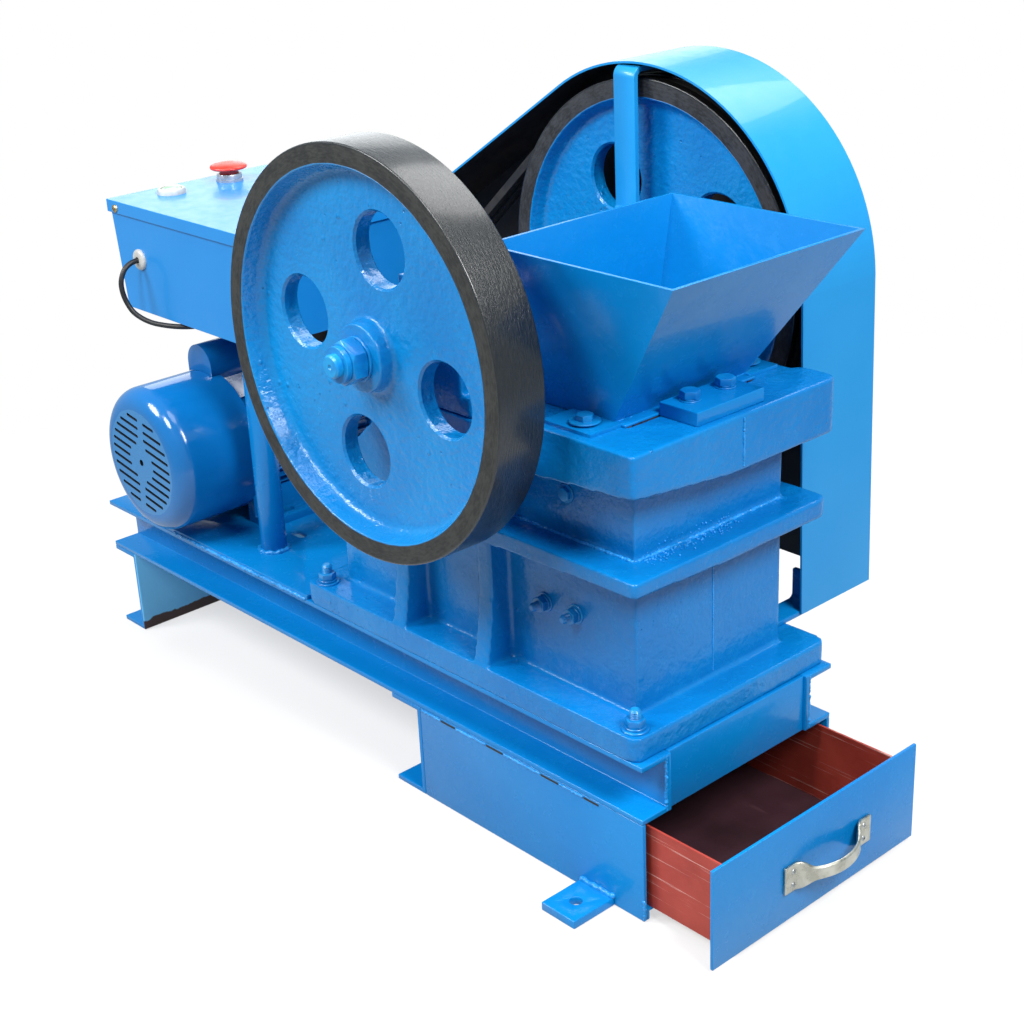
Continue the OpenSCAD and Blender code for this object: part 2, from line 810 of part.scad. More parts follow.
// A point on the back of the moving jaw plate, at a distance up along it
function jaw_back(up) = [
    moving_x - (jaw_t + tooth_h) * cos(nip_angle) - up * sin(nip_angle),
    jaw_foot - (jaw_t + tooth_h) * sin(nip_angle) + up * cos(nip_angle)
];

module swing_jaw() {
    heel = jaw_back(0);
    head = jaw_back(moving_jaw_len);
    color(blue) difference() {
        union() {
            bar_y(shaft_x, shaft_z, bearing_r, -jaw_half, jaw_half);
            along_y(-jaw_half, jaw_half) polygon([
                heel, head, [shaft_x + bearing_r, shaft_z], [shaft_x - bearing_r, shaft_z],
                [heel[0] - 3 * toggle_t, toggle_z + toggle_t], [heel[0] - 2 * toggle_t, toggle_z - toggle_t],
                [heel[0] - toggle_t, heel[1]]
            ]);
        }
        bar_y(shaft_x, shaft_z, shaft_d / 2 + run_clear, -jaw_half - cut, jaw_half + cut);
    }
}

module cheek_plates() {
    bottom = jaw_foot;
    color("slategray") for (side = [0, 1]) mirror([0, side, 0]) along_y(wall_in - cheek_t, wall_in) polygon([
        [jaw_seat_x, bottom], [jaw_seat_x, body_top], [hopper_rear, body_top], [moving_x - jaw_t, bottom]
    ]);
}

module toggle_plate() {
    heel = jaw_back(0);
    front = heel[0] - 5 / 2 * toggle_t - seat_clear;
    back = wall_rear + rear_wall_t;
    color(blue) along_y(-toggle_half, toggle_half) polygon([
        [front, toggle_z - toggle_t / 2], [front - toggle_t / 2, toggle_z + toggle_t / 2],
        [back, toggle_z + 2 * toggle_t], [back, toggle_z + toggle_t]
    ]);
}

module jaw_clamp() {
    color(blue) block([jaw_seat_x + cut, -clamp_w / 2, body_top],
        [jaw_seat_x + cut + clamp_len, clamp_w / 2, body_top + clamp_t]);
}

module hopper() {
    t = hopper_t;
    low_x = [hopper_rear, hopper_front];
    low_y = [-hopper_low_half, hopper_low_half];
    top_x = [hopper_rear - hopper_rear_over, hopper_rear - hopper_rear_over + hopper_top_len];
    top_y = [-hopper_top_half, hopper_top_half];
    shrink = [t, -t];
    color(blue) {
        difference() {
            frustum(low_x, low_y, body_top, top_x, top_y, hopper_top);
            frustum(low_x + shrink, low_y + shrink, body_top - cut,
                top_x + shrink, top_y + shrink, hopper_top + cut);
        }
        for (side = [0, 1]) mirror([0, side, 0])
            block([hopper_front + 3 * t - hopper_tab_len, hopper_low_half - t, body_top],
                [hopper_front + 3 * t, hopper_low_half + hopper_tab, body_top + t]);
    }
}

// Half section of a wheel on the +Y side, radius against distance from the centre plane
module wheel_section(rim_inner) {
    bore = hub_shaft_d / 2;
    polygon([
        [bore, hub_in], [hub_d / 2, hub_in],
        [hub_d / 2, web_face - web_t], [rim_inner - rim_draft, web_face - web_t],
        [rim_inner, wheel_in], [wheel_r, wheel_in], [wheel_r, wheel_out], [rim_inner, wheel_out],
        [rim_inner - rim_draft, web_face], [hub_d / 2, web_face], [hub_d / 2, hub_face], [bore, hub_face]
    ]);
}

module web_holes(turn) {
    for (i = [0 : web_hole_n - 1])
        translate([shaft_x, 0, shaft_z]) rotate([0, turn + i * 360 / web_hole_n, 0])
        bar_y(web_hole_pcd / 2, 0, web_hole_d / 2, wheel_in - cut, wheel_out + cut);
}

module flywheel() {
    color("dimgray") mirror([0, 1, 0]) difference() {
        turned(shaft_x, shaft_z) wheel_section(wheel_r - rim_t);
        web_holes(fly_turn);
    }
}

// Belt places across the drive
function belt_y(i) = pulley_mid + (i - (belt_n - 1) / 2) * belt_pitch;

// Grooves for the belts in a pulley of a given radius
module grooves(r) {
    half = belt_w / 2 + groove_clear;
    for (i = [0 : belt_n - 1]) polygon([
        [r + cut, belt_y(i) - half], [r + cut, belt_y(i) + half],
        [r - groove_depth, belt_y(i) + half], [r - groove_depth, belt_y(i) - half]
    ]);
}

module belt_pulley() {
    color("dimgray") difference() {
        turned(shaft_x, shaft_z) difference() {
            wheel_section(wheel_r - rim_t);
            grooves(wheel_r);
        }
        web_holes(pulley_turn);
    }
}

module main_shaft() {
    end = hub_face + thread_len;
    color("silver") {
        bar_y(shaft_x, shaft_z, shaft_d / 2, -hub_in, hub_in);
        bar_y(shaft_x, shaft_z, hub_shaft_d / 2, -hub_face, hub_face);
        bar_y(shaft_x, shaft_z, thread_d / 2, -end, end);
    }
}

module shaft_nuts() {
    color(blue) for (side = [0, 1]) mirror([0, side, 0]) difference() {
        union() {
            translate([shaft_x, hub_face, shaft_z]) rotate([-quarter, 0, 0])
                cylinder(d = nut_af / cos(30), h = nut_t, $fn = 6);
            bar_y(shaft_x, shaft_z, ring_d / 2, hub_face + nut_t, hub_face + nut_t + ring_t);
        }
        bar_y(shaft_x, shaft_z, thread_d / 2, hub_face - cut, hub_face + nut_t + ring_t + cut);
    }
}

module motor_body() {
    color(blue) difference() {
        union() {
            translate([motor_x, 0, motor_z]) along_y(-motor_fan_end, motor_drive_end) {
                circle(motor_r - fin_h, $fn = round_fn);
                for (i = [0 : fin_n - 1])
                    rotate(i * 360 / fin_n) translate([0, -fin_t / 2]) square([motor_r, fin_t]);
            }
            bar_y(motor_x, motor_z, fan_d / 2 - fan_t - seat_clear, -motor_fan_end, fan_lap - motor_fan_end);
            turned(motor_x, motor_z) polygon([
                [0, motor_drive_end], [motor_r, motor_drive_end],
                [motor_r - fin_h, motor_drive_end + shield_len],
                [0, motor_drive_end + shield_len]
            ]);
        }
        bar_y(motor_x, motor_z, motor_shaft_d / 2, motor_drive_end, motor_drive_end + shield_len + cut);
    }
}

module motor_fan_cover() {
    r = fan_d / 2;
    tip = cover_rear - fan_len;
    face_r = r - fan_r;
    color(blue) difference() {
        turned(motor_x, motor_z) difference() {
            union() {
                translate([0, tip]) square([face_r, fan_len]);
                translate([0, tip + fan_r]) square([r, fan_len - fan_r]);
                translate([face_r, tip + fan_r]) circle(fan_r, $fn = round_fn);
                translate([-r, tip]) square([r, fan_len]);
            }
            translate([-r - cut, tip - cut]) square([r + cut, fan_len + 2 * cut]);
            translate([0, tip + fan_t]) square([face_r, fan_len]);
            translate([0, tip + fan_r]) square([r - fan_t, fan_len]);
            translate([0, tip - cut]) square([fan_hole_d / 2, fan_t + 2 * cut]);
        }
        translate([motor_x, 0, motor_z]) rotate([0, slot_turn, 0]) along_y(tip - cut, tip + fan_t + cut)
            for (i = [0 : slot_n - 1], side = [-1, 1])
                air_slot(side, (i - (slot_n - 1) / 2) * slot_pitch, face_r);
    }
}

// One air slot with round ends, from the closed middle to the edge of the face
module air_slot(side, z, face_r) {
    from = max(sqrt(max(slot_in_r * slot_in_r - z * z, 0)), slot_w) + slot_w;
    to = max(sqrt(max(pow(face_r - slot_edge, 2) - z * z, 0)), from + slot_w);
    for (x = [from, to]) translate([side * x, z]) circle(d = slot_w, $fn = round_fn);
    translate([side > 0 ? from : -to, z - slot_w / 2]) square([to - from, slot_w]);
}

// Feet: a slotted flat on each side with an upright under the frame
module motor_feet() {
    mid = motor_foot_mid;
    half = motor_foot_len / 2;
    out = motor_foot_w / 2;
    slot_x = out - motor_foot_flat + motor_foot_web + foot_slot_w;
    color(blue) for (side = [0, 1]) translate([motor_x, 0, 0]) mirror([side, 0, 0]) difference() {
        along_y(mid - half, mid + half) {
            translate([out - motor_foot_flat, deck_top]) square([motor_foot_flat, motor_foot_t]);
            translate([out - motor_foot_flat, deck_top]) square([motor_foot_web, motor_h]);
        }
        bar_y(0, motor_z, motor_r, mid - half - cut, mid + half + cut);
        for (end = [-1, 1]) translate([slot_x, mid + end * half / 2, deck_top - cut])
            linear_extrude(motor_foot_t + 2 * cut) {
                for (run = [-1, 1]) translate([0, run * foot_slot_w]) circle(d = foot_slot_w, $fn = round_fn);
                square([foot_slot_w, 2 * foot_slot_w], center = true);
            }
    }
}

module capacitor_housing() {
    r = cap_w / 2;
    crown = cap_top - r;
    color(blue) difference() {
        union() {
            bar_y(cap_x, crown, r, cap_y, cap_y + cap_len);
            block([cap_x - r, cap_y, motor_z], [cap_x + r, cap_y + cap_len, crown]);
            translate([cap_x, cap_boss_y, crown]) cylinder(d = gland_d, h = r + cap_boss, $fn = round_fn);
        }
        bar_y(motor_x, motor_z, motor_r, cap_y - cut, cap_y + cap_len + cut);
        bar_y(motor_x, motor_z, fan_d / 2 + seat_clear, cap_y - cut, cover_rear + seat_clear);
    }
}

module motor_pulley() {
    color("dimgray") {
        turned(motor_x, motor_z) difference() {
            translate([0, wheel_in]) square([motor_pulley_r, wheel_w]);
            grooves(motor_pulley_r);
        }
        bar_y(motor_x, motor_z, motor_shaft_d / 2, motor_drive_end, wheel_in + cut);
    }
}

// Region inside a belt that runs at a depth below both pulley rims
module belt_loop(sink) {
    hull() {
        translate([shaft_x, shaft_z]) circle(wheel_r - sink, $fn = 96);
        translate([motor_x, motor_z]) circle(motor_pulley_r - sink, $fn = 48);
    }
}

module v_belts() {
    color("black") for (i = [0 : belt_n - 1])
        along_y(belt_y(i) - belt_w / 2, belt_y(i) + belt_w / 2) difference() {
            belt_loop(belt_sink);
            belt_loop(belt_sink + belt_t);
        }
}

// Points along an arc in X and Z
function arc(centre, r, from, to) = [
    for (i = [0 : arc_steps]) let (a = from + (to - from) * i / arc_steps) centre + r * [cos(a), sin(a)]
];

// Guard outline in X and Z, drawn in by a depth and open below by a drop
module guard_outline(depth, drop) {
    rp = guard_r - depth;
    rm = guard_motor_r - depth;
    p = [shaft_x, shaft_z];
    m = [motor_x, motor_z];
    low = guard_low - drop;
    polygon(concat(
        [[p[0] + rp + guard_lean, low]],
        arc(p, rp, 0, quarter + guard_angle),
        arc(m, rm, quarter + guard_angle, half_turn),
        [[m[0] - rm, low]]
    ));
}

module guard_band() {
    color("deepskyblue") along_y(guard_in, guard_out - guard_t) difference() {
        guard_outline(0, 0);
        guard_outline(guard_t, cut);
    }
}

module guard_face() {
    color("deepskyblue") along_y(guard_out - guard_t, guard_out) guard_outline(0, 0);
}

// A flat bar from the bearing up to the band, hooked under it
module guard_strap() {
    pad = shaft_z + bearing_r + bearing_pad;
    top = shaft_z + sqrt(pow(guard_r - guard_t, 2) - strap_w * strap_w) - seat_clear;
    foot_bend = guard_in - strap_t - strap_bend;
    hook_bend = guard_in + strap_bend;
    reach = strap_bend + strap_t;
    color("deepskyblue") along_x(shaft_x - strap_w, shaft_x) {
        translate([bearing_out - strap_foot, pad]) square([foot_bend - bearing_out + strap_foot, strap_t]);
        bend(foot_bend, pad + reach, strap_bend, strap_t, 1, -1);
        translate([guard_in - strap_t, pad + reach]) square([strap_t, top - pad - 2 * reach]);
        bend(hook_bend, top - reach, strap_bend, strap_t, -1, 1);
        translate([hook_bend, top - strap_t]) square([strap_hook, strap_t]);
    }
}

// A bent flat bar from the cast foot up to the guard's lower front corner
module guard_bracket() {
    rise = (bracket_h - guard_lift) / (shaft_z - guard_low);
    x1 = shaft_x + guard_r - guard_t + guard_lean * (1 - rise) - seat_clear;
    from = base_half - bracket_w;
    turn = guard_in + bracket_len - strap_bend - bracket_t;
    reach = strap_bend + bracket_t;
    color(blue) along_x(x1 - bracket_w, x1) {
        translate([from, foot_top]) square([turn - from, bracket_t]);
        bend(turn, foot_top + reach, strap_bend, bracket_t, 1, -1);
        translate([turn + strap_bend, foot_top + reach]) square([bracket_t, bracket_h - reach]);
    }
}

module control_posts() {
    color(blue) for (side = [-1, 1]) translate([post_x, side * post_y, deck_top])
        cylinder(d = post_d, h = box_low - deck_top, $fn = round_fn);
}

module control_box() {
    t = box_t;
    low_x = [box_rear + box_slope, box_rear + box_len - box_slope];
    top_x = [box_rear, box_rear + box_len];
    y = [-box_half, box_half];
    shrink = [t, -t];
    color(blue) difference() {
        frustum(low_x, y, box_low, top_x, y, box_top);
        frustum(low_x + shrink, y + shrink, box_low + t, top_x + shrink, y + shrink, box_top + cut);
    }
}

module control_box_lid() {
    color(blue) difference() {
        block([box_rear - lid_over, -box_half - lid_over, box_top - lid_lip],
            [box_rear + box_len + lid_over, box_half + lid_over, lid_top]);
        block([box_rear - seat_clear, -box_half - seat_clear, box_top - lid_lip - cut],
            [box_rear + box_len + seat_clear, box_half + seat_clear, box_top]);
        for (bore = [[start_y, start_d], [stop_y, stem_d]]) translate([button_x, bore[0], box_top - cut])
            cylinder(d = bore[1] + 2 * button_clear, h = box_t + 2 * cut, $fn = round_fn);
    }
}

// A grommet with a bevelled rim, its face at +Z
module grommet() {
    rotate_extrude($fn = round_fn) polygon([
        [0, 0], [gland_d / 2, 0], [gland_d / 2, gland_t - gland_bevel],
        [gland_d / 2 - gland_bevel, gland_t], [0, gland_t]
    ]);
}

module cable_gland() {
    color("white") {
        translate([gland_x, -box_half, gland_z]) rotate([quarter, 0, 0]) grommet();
        translate([cap_x, cap_boss_y, cap_top + cap_boss]) grommet();
    }
}

// Rings of points swept along a route, each ring square to the route
function route_dir(p, i) = let (d = p[min(i + 1, len(p) - 1)] - p[max(i - 1, 0)]) d / norm(d);
function ring_axes(d) = let (side = cross(d, lead_ref), u = side / norm(side)) [u, cross(d, u)];
function ring(p, i, r) = let (
    d = i == 0 ? [0, -1, 0] : i == len(p) - 1 ? [0, 0, -1] : route_dir(p, i), ax = ring_axes(d)
) [
    for (k = [0 : lead_sides - 1]) let (a = k * 360 / lead_sides)
        p[i] + r * (cos(a) * ax[0] + sin(a) * ax[1])
];

module motor_lead() {
    n = len(lead_points);
    s = lead_sides;
    points = [for (i = [0 : n - 1], q = ring(lead_points, i, lead_d / 2)) q];
    faces = concat(
        [[for (k = [s - 1 : -1 : 0]) k]],
        [for (i = [0 : n - 2], k = [0 : s - 1])
            [i * s + k, i * s + (k + 1) % s, (i + 1) * s + (k + 1) % s, (i + 1) * s + k]],
        [[for (k = [0 : s - 1]) (n - 1) * s + k]]
    );
    color("black") polyhedron(points = points, faces = faces);
}

module tube(x, y, z, d, bore, h) {
    translate([x, y, z]) difference() {
        cylinder(d = d, h = h, $fn = round_fn);
        translate([0, 0, -cut]) cylinder(d = bore, h = h + 2 * cut, $fn = round_fn);
    }
}

module button_collars() {
    color("white") tube(button_x, start_y, lid_top, bezel_d, start_d + 2 * button_clear, bezel_h);
    color("gray") tube(button_x, stop_y, lid_top, collar_d, stem_d + 2 * button_clear, collar_h);
}

module start_button() {
    color("green") translate([button_x, start_y, lid_top - box_t])
        cylinder(d = start_d, h = box_t + bezel_h - button_rest, $fn = round_fn);
}

module stop_button() {
    neck = collar_h + button_travel + button_rest;
    r = stop_head_d / 2;
    color("red") translate([button_x, stop_y, lid_top]) rotate_extrude($fn = round_fn) polygon([
        [0, -box_t], [stem_d / 2, -box_t], [stem_d / 2, neck], [r - stop_edge, neck], [r, neck + stop_edge],
        [r, neck + 2 * stop_edge], [r - 2 * stop_edge, neck + stop_head_h - stop_edge / 2],
        [0, neck + stop_head_h]
    ]);
}

module drawer_box() {
    t = drawer_t;
    x0 = drawer_x - drawer_len;
    color("brown") difference() {
        block([x0, -drawer_half, drawer_low], [drawer_x, drawer_half, drawer_high]);
        block([x0 + t, -drawer_half + t, drawer_low + t], [drawer_x - t, drawer_half - t, drawer_high + cut]);
    }
}

module drawer_front() {
    color(blue) block([drawer_x, -drawer_front_half, drawer_front_low],
        [drawer_x + drawer_front_t, drawer_front_half, drawer_front_high]);
}

module drawer_handle() {
    face = drawer_x + drawer_front_t;
    span = handle_len / 2 - handle_foot / 2;
    bow_r = (span * span + handle_out * handle_out) / (2 * handle_out);
    color("silver") translate([face, handle_y, handle_z]) {
        for (side = [-1, 1])
            translate([0, side * (handle_len - handle_foot) / 2 - handle_foot / 2, -handle_plate_h / 2])
            cube([handle_t, handle_foot, handle_plate_h]);
        translate([0, 0, -handle_w / 2]) linear_extrude(handle_w) intersection() {
            translate([handle_out - bow_r, 0]) difference() {
                circle(bow_r, $fn = round_fn);
                circle(bow_r - handle_t, $fn = round_fn);
            }
            translate([0, -handle_len / 2]) square([handle_out + cut, handle_len]);
        }
    }
}

base_rail_near();
base_rail_far();
front_cross_plate();
rear_leg();
housing_side_near();
housing_side_far();
housing_back();
drawer_runners();
floor_lugs();
deck_plate();
crusher_body();
bearing_near();
bearing_far();
fixed_jaw();
swing_jaw();
moving_jaw_plate();
cheek_plates();
toggle_plate();
jaw_clamp();
hopper();
flywheel();
belt_pulley();
main_shaft();
shaft_nuts();
motor_body();
motor_fan_cover();
motor_feet();
capacitor_housing();
motor_pulley();
v_belts();
guard_band();
guard_face();
guard_strap();
guard_bracket();
control_posts();
control_box();
control_box_lid();
cable_gland();
motor_lead();
button_collars();
start_button();
stop_button();
drawer_box();
drawer_front();
drawer_handle();
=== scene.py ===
# %% [markdown]
# # A small jaw crusher on a welded base
# The machine has a cast crusher body with two wheels on one shaft, a motor behind it that drives the far
# wheel by belts, a switch box on two posts, and a drawer that catches the crushed stone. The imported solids
# give every size and place. This lesson dresses them: it rounds the castings, adds bolts and welds, and
# paints everything. The frame is loaded first, because every piece rides on one of its bodies.

# %% Load the frame
import json
import math
import random

import bpy
from mathutils import Matrix, Vector

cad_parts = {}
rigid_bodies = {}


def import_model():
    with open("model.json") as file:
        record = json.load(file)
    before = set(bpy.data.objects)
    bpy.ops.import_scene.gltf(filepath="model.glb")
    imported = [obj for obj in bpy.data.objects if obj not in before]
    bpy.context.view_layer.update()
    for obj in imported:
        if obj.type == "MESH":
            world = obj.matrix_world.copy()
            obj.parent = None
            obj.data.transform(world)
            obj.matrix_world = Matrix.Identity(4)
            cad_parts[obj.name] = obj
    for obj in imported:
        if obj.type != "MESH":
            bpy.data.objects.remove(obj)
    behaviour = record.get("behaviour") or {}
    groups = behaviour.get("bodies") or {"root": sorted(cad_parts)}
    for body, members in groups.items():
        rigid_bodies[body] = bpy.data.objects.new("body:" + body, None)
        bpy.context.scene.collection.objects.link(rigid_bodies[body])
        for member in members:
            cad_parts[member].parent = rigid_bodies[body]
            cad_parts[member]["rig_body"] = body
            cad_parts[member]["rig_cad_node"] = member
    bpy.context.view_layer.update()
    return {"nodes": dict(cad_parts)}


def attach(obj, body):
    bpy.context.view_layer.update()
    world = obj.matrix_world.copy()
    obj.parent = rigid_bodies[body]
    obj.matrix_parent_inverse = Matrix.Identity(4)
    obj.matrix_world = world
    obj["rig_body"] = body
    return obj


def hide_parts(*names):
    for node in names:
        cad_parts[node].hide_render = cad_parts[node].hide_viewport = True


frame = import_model()
bpy.ops.object.select_all(action="DESELECT")
nodes = frame["nodes"]
MM = 0.001
TURN = 2 * math.pi

# %% [markdown]
# ## The camera
# The photograph looks down on the drawer end and the near wheel from about human height. The camera could be
# aimed by a constraint, but three angles and a place are enough: the way it looks, how far it looks down,
# and a small roll, which make the three axes of its matrix.

# %% Set up the camera
azimuth, elevation, roll = (math.radians(angle) for angle in (48.62, 23.28, -2.72))
flat = math.cos(elevation)
back = Vector((math.sin(azimuth) * flat, -math.cos(azimuth) * flat, math.sin(elevation)))
level = Vector((math.cos(azimuth), math.sin(azimuth), 0))
rise = back.cross(level)
right = math.cos(roll) * level + math.sin(roll) * rise
up = math.cos(roll) * rise - math.sin(roll) * level
bpy.ops.object.camera_add(location=(0.90294, -0.99520, 0.90267))
camera = bpy.context.object
camera.rotation_euler = Matrix((right, up, back)).transposed().to_euler()
camera.data.sensor_width = 36
camera.data.lens = 61.605
bpy.context.scene.camera = camera
bpy.context.scene.view_settings.view_transform = "Standard"
print("camera at", tuple(round(value, 3) for value in camera.location))

# %% [markdown]
# ## The motor lead
# A short black lead leaves a grommet in the switch box, hangs in a loop round the edge of the box, and goes
# down into the motor's capacitor housing. The points are those of the solid, and smooth handles join them.

# %% Lay the lead
lead_route = [
    (-677, -103, 442), (-677, -111, 440.5), (-677, -118, 436.5), (-677, -122.5, 430), (-677, -125, 422),
    (-676, -125, 412), (-674, -123, 402), (-669, -120, 392.5), (-661, -115.5, 386), (-650, -110.5, 382),
    (-638, -105, 380.5), (-626, -99, 380), (-615, -91.5, 380), (-607, -81, 380), (-603.5, -69, 380),
    (-604.5, -57, 380), (-609.5, -47, 380), (-616, -39, 379.5), (-623, -31, 378.5), (-628, -23, 376),
    (-631.5, -16.5, 371), (-633.5, -13, 364), (-634, -12, 357),
]
lead_route = [Vector(point) * MM for point in lead_route]
lead_d = 5.5 * MM
bpy.ops.curve.primitive_bezier_curve_add()
lead = bpy.context.object
lead.name = "motor_lead_cable"
spline = lead.data.splines[0]
spline.bezier_points.add(len(lead_route) - 2)
for i, (knot, point) in enumerate(zip(spline.bezier_points, lead_route)):
    along = (lead_route[min(i + 1, len(lead_route) - 1)] - lead_route[max(i - 1, 0)]) / 6
    knot.handle_left_type = knot.handle_right_type = "FREE"
    knot.co, knot.handle_left, knot.handle_right = point, point - along, point + along
    knot.radius = lead_d / 2
lead.data.bevel_depth = 1
lead.data.bevel_resolution = 3
lead.data.resolution_u = 4
lead.data.use_fill_caps = True
bpy.context.view_layer.update()
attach(lead, "machine")
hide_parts("motor_lead")

# %% [markdown]
# ## Writing shader sums as sums
# A finish is a net of nodes. Adding each node by hand hides what is worked out, so a small class wraps a
# socket: a plus or a times between two wrapped sockets adds a Math node, and one method adds any other node.

# %% A socket that can be added and multiplied
class Socket:
    def __init__(self, finish, socket):
        self.finish, self.socket = finish, socket

    def maths(self, operation, *terms):
        return self.finish.node("Math", {"operation": operation}, dict(enumerate(terms)))

    def __add__(self, other):
        return self.maths("ADD", self, other)

    def __sub__(self, other):
        return self.maths("SUBTRACT", self, other)

    def __rsub__(self, other):
        return self.maths("SUBTRACT", other, self)

    def __mul__(self, other):
        return self.maths("MULTIPLY", self, other)

    def __truediv__(self, other):
        return self.maths("DIVIDE", self, other)

    def __rtruediv__(self, other):
        return self.maths("DIVIDE", other, self)

    def __pow__(self, other):
        return self.maths("POWER", self, other)

    def most(self, other):
        return self.maths("MAXIMUM", self, other)

    def span(self, low, high, start=0.0, end=1.0):
        return self.finish.node("MapRange", {"interpolation_type": "SMOOTHSTEP"},
                                {0: self, 1: low, 2: high, 3: start, 4: end})

    __radd__ = __add__
    __rmul__ = __mul__


print("socket class ready")

# %% [markdown]
# ## One class for a finish
# A finish is one material. It holds the shader, the object coordinates that every pattern reads, and short
# methods for the nodes that come back: noise, cells, a mix of two colours, a bump. Writing the nodes out for
# each material would also work, but then twenty finishes would repeat the same lines.

# %% Materials
MIX_A, MIX_B, MIX_COLOR = 6, 7, 2


class Finish:
    """One material: its principled shader, and the nodes that feed it."""

    def __init__(self, name, **constants):
        self.material = bpy.data.materials.new(name)
        self.material.use_nodes = True
        self.tree = self.material.node_tree
        self.shader = self.tree.nodes["Principled BSDF"]
        self.feed(constants)
        self.point = self.node("TexCoord", output="Object")
        x, y, z = (self.node("SeparateXYZ", inputs={0: self.point}, output=axis) for axis in "XYZ")
        self.x, self.y, self.z = x, y, z

    def node(self, kind, settings=None, inputs=None, output=0):
        made = self.tree.nodes.new("ShaderNode" + kind)
        for key, value in (settings or {}).items():
            setattr(made, key, value)
        for key, value in (inputs or {}).items():
            self.join(made.inputs[key], value)
        return Socket(self, made.outputs[output])

    def join(self, socket, value):
        if isinstance(value, Socket):
            self.tree.links.new(value.socket, socket)
        elif socket.type == "RGBA":
            socket.default_value = (*value, 1)
        else:
            socket.default_value = value

    def feed(self, values):
        for key, value in values.items():
            self.join(self.shader.inputs[key.replace("_", " ")], value)

    def noise(self, scale, detail=3.0, rough=0.55, point=None):
        return self.node("TexNoise", inputs={
            "Vector": point or self.point, "Scale": scale, "Detail": detail, "Roughness": rough})

    def cells(self, scale):
        return self.node("TexVoronoi", inputs={"Vector": self.point, "Scale": scale}, output="Distance")

    def stretched(self, scale):
        return self.node("Mapping", inputs={"Vector": self.point, "Scale": scale})

    def mix(self, factor, first, second):
        return self.node("Mix", {"data_type": "RGBA"}, {0: factor, MIX_A: first, MIX_B: second}, MIX_COLOR)

    def bump(self, height, distance):
        return self.node("Bump", inputs={"Height": height, "Distance": distance, "Strength": 1.0})

    def away(self, x, z):
        """Distance from an axis that runs along Y through a point, in millimetres."""
        dx, dz = self.x / MM - x, self.z / MM - z
        return (dx * dx + dz * dz) ** 0.5


def shade(red, green, blue):
    """A colour as a paint chart gives it, 0 to 255, made linear for the renderer."""
    return tuple((v / 255 / 12.92) if v < 11 else ((v / 255 + 0.055) / 1.055) ** 2.4
                 for v in (red, green, blue))


print("finish class ready")

# %% [markdown]
# ## Blue enamel
# All the steel and iron is brushed or sprayed with one glossy mid blue. On sheet it lies nearly flat, on the
# castings it follows a rough skin with pits. Image maps could hold that, but the pieces have no unwrapped
# maps; noise in object coordinates needs none. One function makes every blue, and its numbers say how deep
# the orange peel and the pits are.

# %% The blues
DEEP = shade(3, 110, 182)
MID = shade(5, 125, 196)
PALE = shade(16, 148, 212)
DARK = shade(2, 70, 142)


def blisters(f, scale, size, where):
    """Small domes under the paint, as cast skin and paint runs leave them."""
    return (1 - f.cells(scale).span(0.0, size)) * f.noise(13).span(where, where + 0.08)


def enamel(name, deep, mid, pale, peel, lumps, gloss, haze=0.28, mottle=0.12):
    """Blue paint: peel and lumps are bump depths in millimetres, gloss its roughness, haze its reflection and
    mottle how much of the paler tone breaks through."""
    f = Finish(name, Specular_IOR_Level=haze, Coat_Roughness=0.05)
    cloud, fine = f.noise(5, 3, 0.55), f.noise(64, 3, 0.6)
    tone = f.mix(cloud.span(0.3, 0.7), deep, mid)
    tone = f.mix(fine.span(0.5, 0.75) * mottle, tone, pale)
    skin = f.noise(300, 2, 0.5) * peel + f.noise(120, 2, 0.5) * (peel * 2.4)
    if lumps:
        domes, pits = blisters(f, 70, 0.17, 0.55), blisters(f, 105, 0.14, 0.57)
        tone = f.mix(pits * 0.45, tone, DARK)
        skin = skin + domes * lumps - pits * lumps
    f.feed({"Base Color": tone, "Roughness": fine.span(0.3, 0.75, gloss, gloss + 0.1),
            "Coat Weight": cloud.span(0.3, 0.7, 0.1, 0.25), "Normal": f.bump(skin, MM)})
    return f


cast_blue = enamel("blue_casting_enamel", DEEP, MID, PALE, 0.36, 0.95, 0.2, mottle=0.1)
sheet_blue = enamel("blue_sheet_enamel", shade(4, 116, 188), MID, PALE, 0.1, 0, 0.2, mottle=0.04)
box_blue = enamel("blue_box_enamel", shade(20, 128, 204), shade(24, 132, 208), shade(30, 138, 213),
                  0.01, 0, 0.28, 0.5)
motor_blue = enamel("blue_motor_enamel", shade(6, 98, 166), shade(8, 106, 176), shade(16, 116, 188),
                    0.03, 0, 0.1, 0.5)
# The vent blue is paler and greyer than the motor blue: a painted reflection of the light on the cover's flat
# face.
vent_reflection_blue = enamel("blue_vent_enamel_painted_reflection", shade(40, 116, 176), shade(46, 122, 182), shade(54, 130, 190),
                   0.03, 0, 0.2, 0.5)
guard_blue = enamel("blue_guard_enamel", shade(22, 136, 202), shade(26, 140, 205), shade(32, 146, 210),
                    0.02, 0, 0.3)
leg_blue = enamel("blue_leg_enamel", shade(4, 116, 188), MID, PALE, 0.1, 0, 0.28, mottle=0.04)
print("seven blue enamels")

# %% [markdown]
# ## The rear leg's web
# The front face of the rear leg's web is painted paler than the other plates, a painted highlight for the
# light that falls on it from the front, and it is brown along its lower edge. A second material on that face
# would need its own faces, so the leg's own paint is mixed by place.

# %% Painted highlight on the web, brown edge
LEG_WEB_X = -0.7365
EDGE_RISE, EDGE_TOP = 14, 17
web_face = leg_blue.x.span(LEG_WEB_X, LEG_WEB_X + 0.5 * MM)
low_edge = 1 - (leg_blue.z / MM + leg_blue.noise(45) * EDGE_RISE).span(EDGE_TOP, EDGE_TOP + 2)
coat = Socket(leg_blue, leg_blue.shader.inputs["Base Color"].links[0].from_socket)
# The pale blue on the web face is a painted highlight.
coat = leg_blue.mix(web_face, coat, shade(108, 196, 248))
leg_blue.feed({"Base Color": leg_blue.mix(web_face * low_edge, coat, shade(58, 26, 20))})
print("leg paint")

